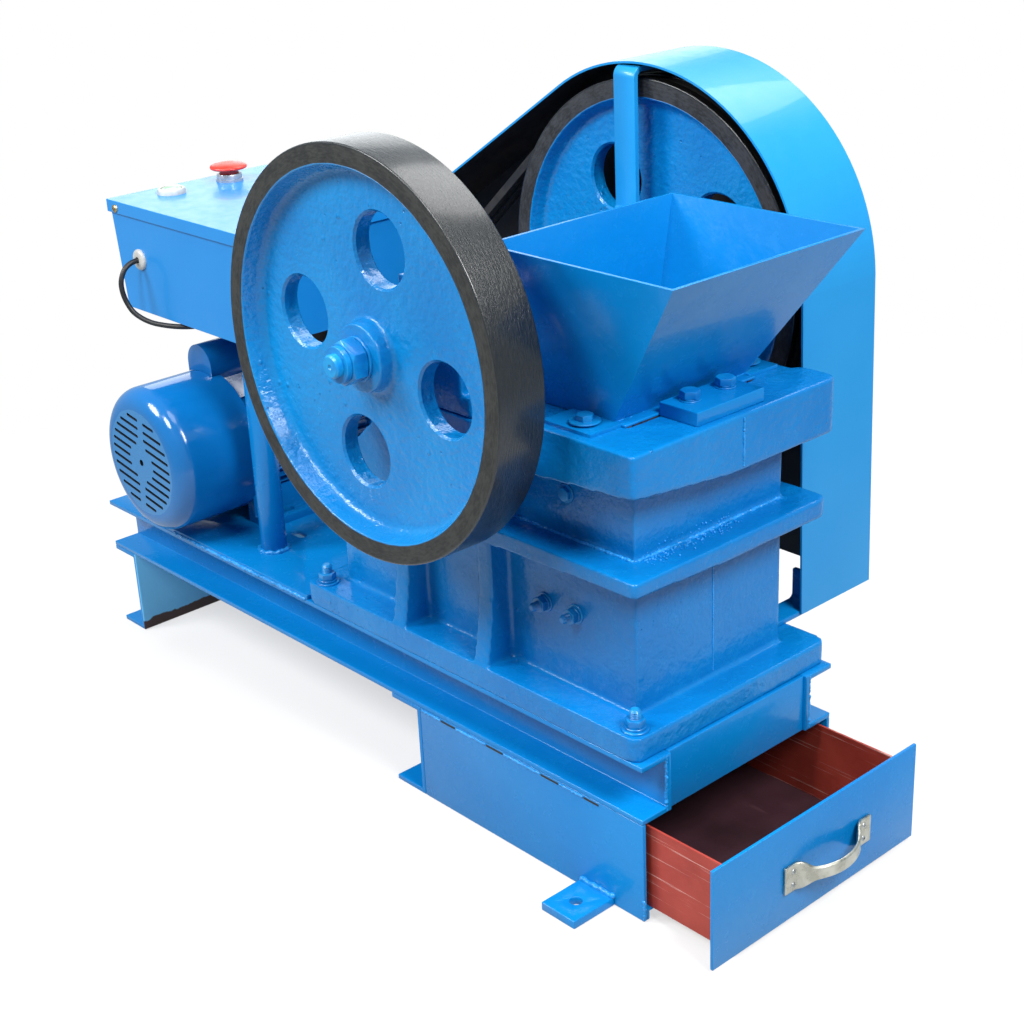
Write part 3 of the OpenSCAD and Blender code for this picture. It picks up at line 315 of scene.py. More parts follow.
# %% [markdown]
# ## Wheel paint
# The wheels are cast and painted in two colours: blue inside, and black on the turned rim. The flat ring
# beside the rim is worn to dull iron. Three materials on three sets of faces would do, but the border runs
# round the axis, so one material that measures the distance from the axis gives a clean, ragged ring.

# %% Paint for both wheels
SHAFT = (-190.0, 462.0)
WHEEL_R = 175.0
RIM_IN = 157.0


def wheel_paint(name, ring_tone):
    f = Finish(name, Specular_IOR_Level=0.4, Coat_Roughness=0.2)
    away = f.away(*SHAFT) + (f.noise(60) - 0.5) * 1.2
    rim = away.span(RIM_IN + 0.6, RIM_IN + 1.6)
    skin = away.span(WHEEL_R - 2.2, WHEEL_R - 0.9)
    cloud, fine = f.noise(6, 3, 0.55), f.noise(70, 3, 0.6)
    domes, pits = blisters(f, 60, 0.2, 0.5), blisters(f, 95, 0.15, 0.52)
    blue = f.mix(cloud.span(0.3, 0.7), shade(4, 117, 188), shade(8, 133, 202))
    blue = f.mix(fine.span(0.5, 0.75) * 0.15, blue, PALE)
    blue = f.mix(pits * 0.45, blue, DARK)
    angle = f.node("Math", {"operation": "ARCTAN2"}, {0: f.z / MM - SHAFT[1], 1: f.x / MM - SHAFT[0]})
    strokes = f.noise(1, 3, 0.65, f.node("CombineXYZ", inputs={0: angle * 26, 1: f.y * 620, 2: away * 0.5}))
    worn = f.noise(46, 4, 0.7)
    ring = f.mix((worn * 0.5 + strokes * 0.5).span(0.4, 0.62), ring_tone, shade(27, 27, 26))
    black = f.mix(strokes.span(0.4, 0.75), shade(8, 8, 9), shade(20, 20, 22))
    dark = f.mix(skin, ring, black)
    relief = f.noise(300, 2, 0.5) * 0.5 + f.noise(120, 2, 0.5) * 1.5 + domes - pits * 0.8
    height = relief * (1 - rim) + strokes * 1.1 * rim * skin + (worn + strokes) * 0.3 * rim * (1 - skin)
    film = fine.span(0.3, 0.75, 0.18, 0.28)
    rough = film * (1 - rim) + (0.54 - skin * 0.24 + strokes * 0.16) * rim
    f.feed({"Base Color": f.mix(rim, blue, dark), "Roughness": rough,
            "Coat Weight": 0.2 - rim * 0.2 + rim * skin * 0.7, "Normal": f.bump(height, MM)})
    return f


wheel_finish = wheel_paint("flywheel_paint", shade(50, 50, 48))
pulley_finish = wheel_paint("pulley_paint", shade(54, 55, 58))
print("wheel paints")

# %% [markdown]
# ## Iron, steel, rubber and plastic
# The small finishes: red primer with pale scratches on the drawer, dark paint inside the guard, plated steel,
# cast nickel, black rubber and three plastics. Each could be one colour, but a flat colour reads as a
# drawing, so each gets the marks of its making: brush streaks, mould skin, rubbed edges.

# %% Small finishes


def plain(name, low, high, scale, rough, metal=0.0, bump=0.0):
    """A finish of two tones in noise, with its own roughness and bump."""
    f = Finish(name)
    grain = f.noise(scale, 4, 0.62)
    f.feed({"Base Color": f.mix(grain.span(0.32, 0.68), low, high), "Metallic": metal,
            "Roughness": grain.span(0.3, 0.7, rough - 0.06, rough + 0.1)})
    if bump:
        f.feed({"Normal": f.bump(grain, bump * MM)})
    return f


def primer(name, low, high, scratch, amount):
    """Red oxide primer, with long level scratches where the drawer has run on its guides."""
    f = Finish(name, Specular_IOR_Level=0.4)
    cloud = f.noise(14, 4, 0.6)
    lines = f.noise(60, 4, 0.7, f.stretched((0.12, 1, 9)))
    marks = lines.span(0.60, 0.66) * f.noise(7, 3, 0.6).span(0.40, 0.58) * amount
    tone = f.mix(cloud.span(0.3, 0.7), low, high)
    f.feed({"Base Color": f.mix(marks, tone, scratch), "Roughness": 0.42 + lines * 0.2,
            "Normal": f.bump(lines, 0.15 * MM)})
    return f


drawer_red = primer("drawer_primer", shade(146, 48, 36), shade(172, 66, 52), shade(214, 168, 158), 0.8)
guard_dark = plain("guard_inside_paint", shade(20, 15, 16), shade(44, 30, 30), 30, 0.5, bump=0.1)
jaw_steel = plain("jaw_steel", shade(60, 58, 56), shade(92, 88, 84), 60, 0.5, 0.9, 0.4)
shaft_steel = plain("shaft_steel", shade(120, 122, 126), shade(170, 172, 176), 90, 0.32, 1.0, 0.05)
zinc = plain("zinc_plate", shade(150, 152, 156), shade(196, 196, 194), 120, 0.3, 1.0, 0.05)
nickel = plain("cast_nickel", shade(176, 171, 156), shade(212, 206, 192), 70, 0.3, 1.0, 0.04)
black_rubber = plain("black_rubber", shade(10, 10, 11), shade(22, 22, 24), 140, 0.48, 0.0, 0.05)
belt_rubber = plain("belt_rubber", shade(16, 16, 17), shade(40, 38, 38), 80, 0.7, 0.0, 0.15)
white_plastic = plain("white_plastic", shade(172, 174, 172), shade(196, 198, 194), 60, 0.34, 0.0, 0.02)
green_plastic = plain("pale_green_lens", shade(122, 170, 138), shade(160, 196, 170), 40, 0.25, 0.0, 0.02)
red_plastic = plain("red_button_plastic", shade(214, 42, 28), shade(234, 64, 46), 50, 0.3, 0.0, 0.02)
label_white = plain("bare_label", shade(214, 220, 226), shade(236, 239, 242), 90, 0.3, 0.3, 0.02)
# Near-black painted shade for the vent slots, the fan and the stitch gaps.
painted_shade_dark = plain("dark_painted_shade", shade(10, 12, 16), shade(20, 24, 30), 40, 0.6)
# The drawer's inside primer is darker: painted shade for the shade inside the drawer.
tray_inside_shaded = primer("tray_inside_primer_painted_shade", shade(44, 25, 30), shade(60, 34, 42), shade(98, 66, 70), 0.35)
brass = plain("brass_plate", shade(176, 146, 92), shade(210, 186, 140), 160, 0.3, 1.0, 0.05)
collar_grey = plain("grey_collar", shade(150, 158, 168), shade(188, 194, 202), 80, 0.28, 0.6, 0.02)
print("small finishes")

# %% [markdown]
# ## Painted steel
# Nuts, welds and shaft ends are under the same blue, but the paint is chipped on their corners. The shaft is
# painted only where it stands out of the wheels, so its bare length is measured from the middle.

# %% Chipped paint


def chipped(name, mid, pale, bare, from_y=None):
    """Blue paint on turned steel, chipped on spots, and bare where it was never painted."""
    f = Finish(name, Specular_IOR_Level=0.4, Coat_Roughness=0.08)
    patch = f.noise(160, 4, 0.65)
    chips = patch.span(0.70, 0.74)
    if from_y:
        inner = 1 - (f.y * f.y) ** 0.5 * 1000 / from_y
        chips = chips.most(inner.span(0, 0.004))
    tone = f.mix(f.noise(60).span(0.35, 0.65), mid, pale)
    f.feed({"Base Color": f.mix(chips, tone, bare), "Metallic": chips * 0.9,
            "Roughness": 0.26 + patch * 0.16, "Coat Weight": 0.25 - chips * 0.25,
            "Normal": f.bump(patch - chips * 0.3, 0.25 * MM)})
    return f


bolt_blue = chipped("painted_fixings", DEEP, shade(8, 136, 202), shade(150, 160, 176))
weld_blue = chipped("painted_weld", MID, shade(40, 150, 230), shade(140, 186, 226))
shaft_finish = chipped("painted_shaft", MID, PALE, shade(150, 152, 156), 188)
print("painted steel")

# %% [markdown]
# ## Tools of the bench
# A few moves come back all the time: take one object alone, apply a modifier, copy a solid and merge its
# loose triangles. They are written once here, with the operators that a hand would use.

# %% Bench tools


def only(obj):
    bpy.ops.object.select_all(action="DESELECT")
    obj.hide_set(False)
    obj.select_set(True)
    bpy.context.view_layer.objects.active = obj
    return obj


def smooth_by(degrees):
    bpy.ops.object.shade_smooth_by_angle(angle=math.radians(degrees))


def modify(obj, kind, **settings):
    only(obj)
    modifier = obj.modifiers.new(kind, kind)
    for key, value in settings.items():
        setattr(modifier, key, value)
    bpy.ops.object.modifier_apply(modifier=modifier.name)


def paint(obj, *finishes):
    obj.data.materials.clear()
    for finish in finishes:
        obj.data.materials.append(finish.material)


def dress(obj, body, slot, *finishes, stands_for=()):
    """Paints a finished piece and hangs it on its body."""
    if finishes:
        paint(obj, *finishes)
    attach(obj, body)
    if stands_for:
        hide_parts(*stands_for)
    return obj


def copied(node, name):
    """A free copy of a solid, its triangles merged into one skin."""
    only(nodes[node])
    bpy.ops.object.duplicate()
    obj = bpy.context.object
    obj.name = name
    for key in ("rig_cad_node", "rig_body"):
        del obj[key]
    bpy.ops.object.mode_set(mode="EDIT")
    bpy.ops.mesh.select_all(action="SELECT")
    bpy.ops.mesh.remove_doubles(threshold=0.01 * MM)
    bpy.ops.object.mode_set(mode="OBJECT")
    return obj


def cast_copy(node, name, voxel, smooth, uneven, most=180000):
    """A copy of a solid with the soft edges and the uneven skin of a sand casting."""
    obj = copied(node, name)
    modify(obj, "REMESH", mode="VOXEL", voxel_size=voxel * MM)
    modify(obj, "SMOOTH", factor=0.5, iterations=smooth)
    lumps = bpy.data.textures.new(name + "_lumps", "CLOUDS")
    lumps.noise_scale = 0.035
    modify(obj, "DISPLACE", texture=lumps, strength=uneven * MM, mid_level=0.5, texture_coords="LOCAL")
    count = 2 * len(obj.data.polygons)
    if count > most:
        modify(obj, "DECIMATE", ratio=most / count)
    only(obj)
    bpy.ops.object.shade_smooth()
    print(name, len(obj.data.polygons), "faces")
    return obj


def soften(node, width, angle=40):
    """Rounds the edges of a solid where it stands, with modifiers that leave its mesh alone."""
    obj = only(nodes[node])
    weld = obj.modifiers.new("weld", "WELD")
    weld.merge_threshold = 0.01 * MM
    flats = obj.modifiers.new("flats", "DECIMATE")
    flats.decimate_type = "DISSOLVE"
    flats.angle_limit = math.radians(1)
    edge = obj.modifiers.new("edge", "BEVEL")
    edge.width = width * MM
    edge.segments = 2
    edge.limit_method = "ANGLE"
    edge.angle_limit = math.radians(angle)
    edge.harden_normals = True
    smooth_by(angle)


print("bench tools ready")

# %% [markdown]
# ## The lathe
# Wheels, washers and buttons are turned: a profile is drawn point by point and spun round the Z axis, then
# the piece is moved to its place and the place is written into its mesh.

# %% Turning tools


def profile_mesh(name, points):
    """A line of points, drawn by extruding one vertex from point to point."""
    bpy.ops.object.select_all(action="DESELECT")
    bpy.ops.mesh.primitive_plane_add(size=0.01)
    obj = bpy.context.object
    obj.name = name
    bpy.ops.object.mode_set(mode="EDIT")
    bpy.ops.mesh.merge(type="CENTER")
    bpy.ops.transform.translate(value=points[0])
    for start, end in zip(points, points[1:]):
        bpy.ops.mesh.extrude_region_move(TRANSFORM_OT_translate={"value": end - start})
    return obj


def turned(name, profile, steps=64, angle=35):
    """Spins a profile of (radius, height) points in millimetres round the Z axis. A ring's profile is closed,
    a solid's runs from the axis to the axis."""
    points = [Vector((radius, 0, height)) * MM for radius, height in profile]
    obj = profile_mesh(name, points)
    bpy.ops.mesh.select_all(action="SELECT")
    bpy.ops.mesh.spin(steps=steps, angle=TURN, center=(0, 0, 0), axis=(0, 0, 1))
    bpy.ops.mesh.select_all(action="SELECT")
    bpy.ops.mesh.remove_doubles(threshold=0.005 * MM)
    bpy.ops.mesh.normals_make_consistent(inside=False)
    bpy.ops.object.mode_set(mode="OBJECT")
    smooth_by(angle)
    return obj


def settle(obj, at, turn=(0, 0, 0)):
    """Moves a piece to its place in the part and writes the place into its mesh."""
    only(obj)
    obj.location = Vector(at) * MM
    obj.rotation_euler = turn
    bpy.ops.object.transform_apply()
    return obj


def another(obj, name):
    only(obj)
    bpy.ops.object.duplicate()
    bpy.context.object.name = name
    return bpy.context.object


def joined(name, *parts):
    only(parts[0])
    for part in parts:
        part.select_set(True)
    bpy.ops.object.join()
    parts[0].name = name
    return parts[0]


TO_NEAR = (math.pi / 2, 0, 0)
TO_FAR = (-math.pi / 2, 0, 0)
print("lathe ready")

# %% [markdown]
# ## The crusher body
# The body is one rough iron casting: a foot, two side walls with ribs, and two flanges. Its edges are soft
# and its faces a little uneven. A bevel on every edge would be regular and would trip over the fillets, so
# the copy is rebuilt in small voxels, smoothed, and moved in and out by slow noise, as sand leaves it.

# %% Cast pieces
casting = cast_copy("crusher_body", "crusher_casting", 2.0, 3, 0.9)
dress(casting, "machine", "blue_casting", cast_blue, stands_for=["crusher_body"])
for side in ("near", "far"):
    bearing = cast_copy("bearing_" + side, "bearing_casting_" + side, 1.8, 4, 0.6, 60000)
    dress(bearing, "machine", "blue_casting", cast_blue, stands_for=["bearing_" + side])

# %% [markdown]
# ## The two wheels
# Both wheels are castings turned on the rim. The profile is drawn once, with fillets between web, hub and
# rim, and spun round the shaft. The four holes are cut with one waisted cutter each, whose flared ends leave
# a bevel on both edges of the hole.

# %% Round corners of a profile


def fillet(corner, before, after, r, steps=4):
    """Points of a round corner of a profile."""
    corner, before, after = (Vector(p) for p in (corner, before, after))
    a = corner + (before - corner).normalized() * r
    b = corner + (after - corner).normalized() * r
    return [tuple((1 - t) ** 2 * a + 2 * t * (1 - t) * corner + t * t * b)
            for t in (i / steps for i in range(steps + 1))]


def rounded(profile, radii):
    out = []
    for i, (point, r) in enumerate(zip(profile, radii)):
        if r:
            out += fillet(point, profile[i - 1], profile[(i + 1) % len(profile)], r)
        else:
            out.append(point)
    return out + out[:1]


print("corners ready")

# %% Draw and spin the flywheel
HUB_IN, WEB_BACK, WHEEL_IN, WHEEL_OUT, WEB_FACE, HUB_FACE = 138, 159, 147, 194, 176, 190
HUB_R, BORE_R, DRAFT = 30, 15, 5
HOLE_PCD, HOLE_R = 183, 31
GROOVE_HALF, GROOVE_DEEP = 6.5, 12
FLARE, OVERRUN, LIP = 5, 3, 2


def wheel(name, grooves, hole_turn):
    rim = [(WHEEL_R, WHEEL_IN), (WHEEL_R, WHEEL_OUT)]
    radii = [1.5, 1.5]
    if grooves:
        rim, radii = [(WHEEL_R, WHEEL_IN)], [1.5]
        for y in grooves:
            rim += [(WHEEL_R, y - GROOVE_HALF), (WHEEL_R - GROOVE_DEEP, y - GROOVE_HALF),
                    (WHEEL_R - GROOVE_DEEP, y + GROOVE_HALF), (WHEEL_R, y + GROOVE_HALF)]
            radii += [0.5, 0.5, 0.5, 0.5]
        rim.append((WHEEL_R, WHEEL_OUT))
        radii.append(1.5)
    profile = [(BORE_R, HUB_IN), (HUB_R, HUB_IN), (HUB_R, WEB_BACK), (RIM_IN - DRAFT, WEB_BACK),
               (RIM_IN, WHEEL_IN), *rim, (RIM_IN, WHEEL_OUT), (RIM_IN - DRAFT, WEB_FACE), (HUB_R, WEB_FACE),
               (HUB_R - 1, HUB_FACE), (BORE_R, HUB_FACE)]
    radii = [0, 2, 4, 7, 2, *radii, 1.5, 7, 5, 2, 0]
    obj = turned(name, rounded(profile, radii), 128, 30)
    middle = (WEB_BACK + WEB_FACE) / 2
    half = (WEB_FACE - WEB_BACK) / 2
    low, high = middle - half, middle + half
    cutter_profile = [(0, low - OVERRUN), (HOLE_R + FLARE, low - OVERRUN), (HOLE_R, low + LIP),
                      (HOLE_R, high - LIP), (HOLE_R + FLARE, high + OVERRUN), (0, high + OVERRUN)]
    cutter = turned(name + "_cutter", cutter_profile, 48)
    settle(cutter, (HOLE_PCD / 2, 0, 0))
    cutters = [cutter] + [another(cutter, "cutter") for _ in range(3)]
    for i, tool in enumerate(cutters):
        settle(tool, (0, 0, 0), (0, 0, hole_turn + i * TURN / 4))
    cutter = joined("cutter", *cutters)
    modify(obj, "BOOLEAN", object=cutter, operation="DIFFERENCE", solver="EXACT")
    bpy.data.objects.remove(cutter)
    only(obj)
    smooth_by(30)
    print(name, len(obj.data.polygons), "faces")
    return obj


fly = wheel("flywheel_casting", (), math.radians(-12))
settle(fly, (SHAFT[0], 0, SHAFT[1]), TO_NEAR)
dress(fly, "rotor", "wheel_iron", wheel_finish, stands_for=["flywheel"])

# %% [markdown]
# ## Sheet, plate and bar
# The base, the switch box, the guard and the hopper are bent or welded from plate. Their solids are right as
# they stand; only their edges are too sharp, so a weld, a flat-face and a bevel modifier round them a little.

# %% Soften plate edges
for name in ("base_rail_near", "base_rail_far", "front_cross_plate", "housing_side_near",
             "housing_side_far", "housing_back", "drawer_runners", "floor_lugs", "deck_plate",
             "jaw_clamp", "motor_feet", "guard_bracket", "control_posts"):
    soften(name, 1.0)
    paint(nodes[name], sheet_blue)
for name in ("hopper", "drawer_front"):
    soften(name, 0.4)
    paint(nodes[name], sheet_blue)
for name in ("control_box", "control_box_lid"):
    soften(name, 0.6)
    nodes[name].modifiers.new("flat", "WEIGHTED_NORMAL").weight = 100
    paint(nodes[name], box_blue)
soften("rear_leg", 1.0)
paint(nodes["rear_leg"], leg_blue)
soften("guard_strap", 0.6)
paint(nodes["guard_strap"], guard_blue)
for name in ("motor_body", "capacitor_housing"):
    soften(name, 0.6, 50)
    paint(nodes[name], motor_blue)
for name, finish in (("fixed_jaw", jaw_steel), ("swing_jaw", cast_blue), ("moving_jaw_plate", jaw_steel),
                     ("cheek_plates", jaw_steel), ("toggle_plate", jaw_steel), ("motor_pulley", shaft_steel),
                     ("v_belts", belt_rubber)):
    soften(name, 0.5)
    paint(nodes[name], finish)
paint(lead, black_rubber)
print("plate edges softened")

# %% [markdown]
# ## The drive side
# The far wheel is the driven one: the same casting with two belt grooves in its rim. It could be mirrored
# from the near wheel, but the grooves change the profile, so it is turned afresh. The shaft is turned as
# well, with the chamfers and centre holes that a lathe leaves; its ends have had a coat of the blue.

# %% Pulley and shaft
BELT_Y = (162.5, 178.5)
THREAD_R, SHAFT_R, SHAFT_END = 10, 20, 219
pulley = wheel("belt_pulley_casting", BELT_Y, math.radians(58))
settle(pulley, (SHAFT[0], 0, SHAFT[1]), TO_FAR)
dress(pulley, "rotor", "wheel_iron", pulley_finish, stands_for=["belt_pulley"])
half_shaft = [(0, SHAFT_END - 3), (2.4, SHAFT_END), (THREAD_R - 1.6, SHAFT_END), (THREAD_R, SHAFT_END - 1.6),
              (THREAD_R, HUB_FACE), (BORE_R, HUB_FACE), (BORE_R, HUB_IN), (SHAFT_R - 1, HUB_IN),
              (SHAFT_R, HUB_IN - 1)]
shaft = turned("turned_shaft", half_shaft + [(r, -y) for r, y in reversed(half_shaft)], 48)
settle(shaft, (SHAFT[0], 0, SHAFT[1]), TO_FAR)
dress(shaft, "rotor", "shaft_steel", shaft_finish, stands_for=["main_shaft"])
print("shaft", 2 * SHAFT_END, "mm long")

# %% [markdown]
# ## Nuts, bolts and studs
# The machine is held together by painted hexagon nuts on studs, with a plain and a spring washer under each.
# A hexagon is a six-sided cylinder whose corners are turned off at its ends, so a turned barrel cuts it.
# The threads are rings in the turned profile: at this size a real helix would not show. Each fixing is
# modelled once on its own axis, then copied to its places.

# %% Hexagons, washers and threads


def hexagon(name, across, low, high, both=True):
    """A hexagon with its corners turned off at one end or both."""
    flat_r = across / 2
    corner_r = flat_r / math.cos(math.pi / 6)
    slope = (corner_r - flat_r * 0.97) * 0.6
    bpy.ops.object.select_all(action="DESELECT")
    bpy.ops.mesh.primitive_cylinder_add(vertices=6, radius=corner_r * MM, depth=(high - low) * MM,
                                        location=(0, 0, (high + low) / 2 * MM))
    obj = bpy.context.object
    obj.name = name
    bpy.ops.object.transform_apply()
    foot = [(0, low - 1), (corner_r, low - 1)]
    if both:
        foot = [(0, low), (flat_r * 0.97, low), (corner_r, low + slope)]
    barrel = turned("barrel", foot + [(corner_r, high - slope), (flat_r * 0.97, high), (0, high)], 48)
    modify(obj, "BOOLEAN", object=barrel, operation="INTERSECT", solver="EXACT")
    bpy.data.objects.remove(barrel)
    modify(obj, "BEVEL", width=0.25 * MM, segments=2, limit_method="ANGLE", angle_limit=math.radians(25))
    smooth_by(25)
    return obj


def washer(name, bore, outer, low, high):
    edge = min(0.4, (high - low) / 3)
    ring = [(bore, low), (outer - edge, low), (outer, low + edge), (outer, high - edge), (outer - edge, high),
            (bore, high)]
    return turned(name, ring + ring[:1], 40)


def threaded(name, r, low, high, pitch=1.6):
    """A threaded end: ridges of the pitch, then a chamfer."""
    points = [(0, low), (r, low)]
    turns = int((high - low - 1.5) / pitch)
    for i in range(turns):
        foot = low + i * pitch
        points += [(r - 0.9, foot + pitch / 2), (r, foot + pitch)]
    points += [(r - 1.4, high - 0.3), (r - 1.9, high), (0, high)]
    return turned(name, points, 32, 20)


print("fixing tools ready")

# %% Models of the fixings
stud = joined("stud_model", washer("w", 5.2, 11.5, 0, 2), washer("s", 5.2, 8.8, 2, 4.2),
              hexagon("h", 15, 4.2, 11), threaded("t", 5, 3, 19.5))
cheek_bolt = joined("cheek_model", washer("w", 4.2, 9, 0, 1.6), washer("s", 4.2, 7.2, 1.6, 3.4),
                    hexagon("h", 13, 3.4, 9.4), threaded("t", 4, 3, 17))
head_bolt = joined("head_model", washer("w", 4.2, 8.8, 0, 1.4), washer("s", 4.2, 7.6, 1.4, 3),
                   hexagon("h", 15, 3, 9, False))
tab_bolt = joined("tab_model", washer("w", 4.2, 13, 0, 1.4), hexagon("h", 13, 1.4, 6.4, False))
wall_plug = joined("plug_model", washer("w", 3.2, 8.5, 0, 1.5), hexagon("h", 11, 1.5, 5, False))


def pan_screw(name, r, rise):
    """A small round-headed screw with a cross cut in its head."""
    dome = [(0, -1), (r, -1), (r, 0.35 * rise), (0.86 * r, 0.72 * rise), (0.55 * r, 0.95 * rise), (0, rise)]
    head = turned(name, dome, 24)
    for turn in (0, math.pi / 2):
        bpy.ops.mesh.primitive_cube_add(size=MM, location=(0, 0, rise * MM))
        slot = bpy.context.object
        slot.scale = (1.5 * r, 0.28 * r, 0.9 * rise)
        slot.rotation_euler.z = turn
        bpy.ops.object.transform_apply()
        modify(head, "BOOLEAN", object=slot, operation="DIFFERENCE", solver="EXACT")
        bpy.data.objects.remove(slot)
    only(head)
    smooth_by(35)
    return head


screw = pan_screw("screw_model", 4.2, 2.4)
small_screw = pan_screw("small_screw_model", 2.6, 1.4)
print("seven fixings modelled")

# %% Fixings in their places
DOWN_X = (0, math.pi / 2, 0)
FOOT_TOP, CLAMP_TOP, TAB_TOP = 171.6, 428.8, 421.6
WALL_Y, LID_SIDE_Y, LID_SCREW_Z, HANDLE_PLATE_X = 89.8, 101.4, 491, 143.6


def place(model, name, at, turn, body="machine", slot="blue_casting", finish=bolt_blue):
    """Copies a fixing to its place and hangs it on its body."""
    dress(settle(another(model, name), at, turn), body, slot, finish)


for side, word, out in ((-1, "near", TO_NEAR), (1, "far", TO_FAR)):
    wall, lid_side = side * WALL_Y, side * LID_SIDE_Y
    place(stud, "foot_stud_rear_" + word, (-379, side * 109, FOOT_TOP), (0, 0, 0.4))
    place(cheek_bolt, "cheek_bolt_rear_" + word, (-87, wall, 241), out)
    place(cheek_bolt, "cheek_bolt_front_" + word, (-50, wall, 242), out)
    place(wall_plug, "wall_plug_" + word, (-56, wall, 350), out)
    place(head_bolt, "clamp_bolt_" + word, (17, side * 21, CLAMP_TOP), (0, 0, 0.25))
    place(tab_bolt, "tab_bolt_" + word, (-26, side * 96, TAB_TOP), (0, 0, 0.6), slot="blue_sheet")
    for end, x in (("rear", -711), ("front", -482)):
        at = (x, lid_side, LID_SCREW_Z)
        place(screw, f"lid_screw_{end}_{word}", at, out, slot="shaft_steel", finish=brass)
place(stud, "foot_stud_front_near", (34, -107, FOOT_TOP), (0, 0, 0.1))
for y in (-37, 57):
    for z in (38.5, 51.5):
        place(small_screw, f"handle_screw_{y + 100}_{int(z)}", (HANDLE_PLATE_X, y, z), DOWN_X,
              "drawer", "handle_nickel", zinc)
for model in (stud, cheek_bolt, head_bolt, tab_bolt, wall_plug, screw, small_screw):
    bpy.data.objects.remove(model)
print("fixings placed")

# %% [markdown]
# ## The wheel nuts
# A wide hexagon nut and a round lock ring hold each wheel on the shaft's threaded end, all under the blue
# paint.

# %% Wheel nuts
for word, out in (("near", TO_NEAR), ("far", TO_FAR)):
    nut = joined("wheel_nut_" + word, washer("shim", THREAD_R, 19, HUB_FACE, HUB_FACE + 2.5),
                 hexagon("nut", 34, HUB_FACE + 2.5, HUB_FACE + 17.5),
                 washer("lock", THREAD_R, 15.5, HUB_FACE + 17.5, HUB_FACE + 22.5))
    settle(nut, (SHAFT[0], 0, SHAFT[1]), out)
    dress(nut, "rotor", "wheel_iron", bolt_blue, stands_for=["shaft_nuts"] if word == "near" else ())
print("wheel nuts on both ends")

# %% [markdown]
# ## Welds
# The base and the box posts are welded by hand, and the paint does not hide the beads. A swept tube would be
# too even. A weld is a row of drops that melted together, so drops of uneven size are laid along a line in
# one mesh, rebuilt in small voxels, and smoothed until the ripples stay and the seams go.

# %% Lay the welds
DROP_GAP = 1.1


def melted(name, drops, voxel, rounds):
    """Drops, each a place and a radius in millimetres, melted into one piece."""
    bpy.ops.object.select_all(action="DESELECT")
    obj = None
    for at, r in drops:
        bpy.ops.mesh.primitive_ico_sphere_add(subdivisions=2, radius=r * MM, location=at * MM)
        if obj is None:
            obj = bpy.context.object
            obj.name = name
            bpy.ops.object.transform_apply()
            bpy.ops.object.mode_set(mode="EDIT")
    bpy.ops.object.mode_set(mode="OBJECT")
    modify(obj, "REMESH", mode="VOXEL", voxel_size=voxel * MM)
    modify(obj, "SMOOTH", factor=0.5, iterations=rounds)
    bpy.ops.object.shade_smooth()
    return dress(obj, "machine", "blue_sheet", weld_blue)


def bead(name, points, r, seed):
    """Overlapping drops along a line of points."""
    dice = random.Random(seed)
    points = [Vector(point) for point in points]
    drops = [(points[0], r)]
    for start, end in zip(points, points[1:]):
        count = max(2, int((end - start).length / (r * DROP_GAP)))
        for i in range(1, count + 1):
            off = Vector([dice.uniform(-0.22, 0.22) * r for _ in range(3)])
            drops.append((start.lerp(end, i / count) + off, r * dice.uniform(0.78, 1.12)))
    return melted(name, drops, 0.26 * r, 3)


def circle(x, y, z, r, steps=20):
    angles = (i * TURN / steps for i in range(steps + 1))
    return [(x + r * math.cos(angle), y + r * math.sin(angle), z) for angle in angles]


for side, word in ((-1, "near"), (1, "far")):
    bead("deck_weld_" + word, [(-640, side * 122, 150.5), (-520, side * 122.4, 150.8),
                               (-404, side * 122, 150.2)], 2.3, 11)
    bead("post_weld_" + word, circle(-517, side * 77, 155.4, 14.4), 2.9, 12)
    bead("lug_weld_" + word, [(-18, side * 122.8, 8.6), (18, side * 122.8, 8.6)], 3.0, 13)
    bead("hopper_weld_" + word, [(-10.5, side * 77, 418), (-10.5, side * 44, 418)], 1.8, 14)
    bead("corner_weld_" + word, [(54.4, side * 121, 2), (54.4, side * 121, 20)], 1.5, 15)
    bead("rail_weld_" + word, [(54, side * 92.5, 97), (54, side * 92.5, 148)], 1.6, 16)
bead("flange_weld", [(21, -86, 312), (21.5, -30, 311.6), (21, 30, 311.8), (21, 86, 312)], 1.9, 21)
for side, word in ((-1, "near"), (1, "far")):
    bead("wall_weld_" + word, [(-148, side * 91, 312), (-60, side * 91.4, 311.7),
                               (18, side * 91, 312)], 1.6, 22)
print("welds laid")

# %% [markdown]
# ## Spatter
# Beside the weld on the mid flange lie small drops that the arc threw, most on the flange and some on the
# wall. They are strewn with a fixed seed and melted like the welds, so none stays a plain ball.

# %% Strew the spatter
DROPS, FLANGE_TOP, WALL_X = 190, 311.4, 20.1
dice = random.Random(31)
drops = [(Vector((24, -80, 311.6)), 1)]
for _ in range(DROPS):
    y, away = dice.uniform(-84, 30), abs(dice.gauss(0, 1))
    at = (21.5 + 6 * away, y, FLANGE_TOP) if dice.random() < 0.75 else (WALL_X, y, 313 + 5 * away)
    drops.append((Vector(at), dice.uniform(0.4, 1.1)))
spatter = melted("weld_spatter", drops, 0.3, 2)
print("spatter", len(spatter.data.polygons), "faces")

# %% [markdown]
# ## Stitches and parting lines
# The housing's upper edge is welded in short stitches with open gaps between them; each gap is a thin
# near-black strip, painted shade for the shade inside it. The castings keep a thin raised line where the two
# halves of the mould met. A strip closes the top of the jaw.

# %% Stitches, strip and parting lines
STITCHES = ((-201, -181), (-138, -116), (-67, -45), (-14, 4))
WELD_STARTS = (-228, -179, -114, -43)
STITCH_Y, STITCH_Z = -121.8, 92.6


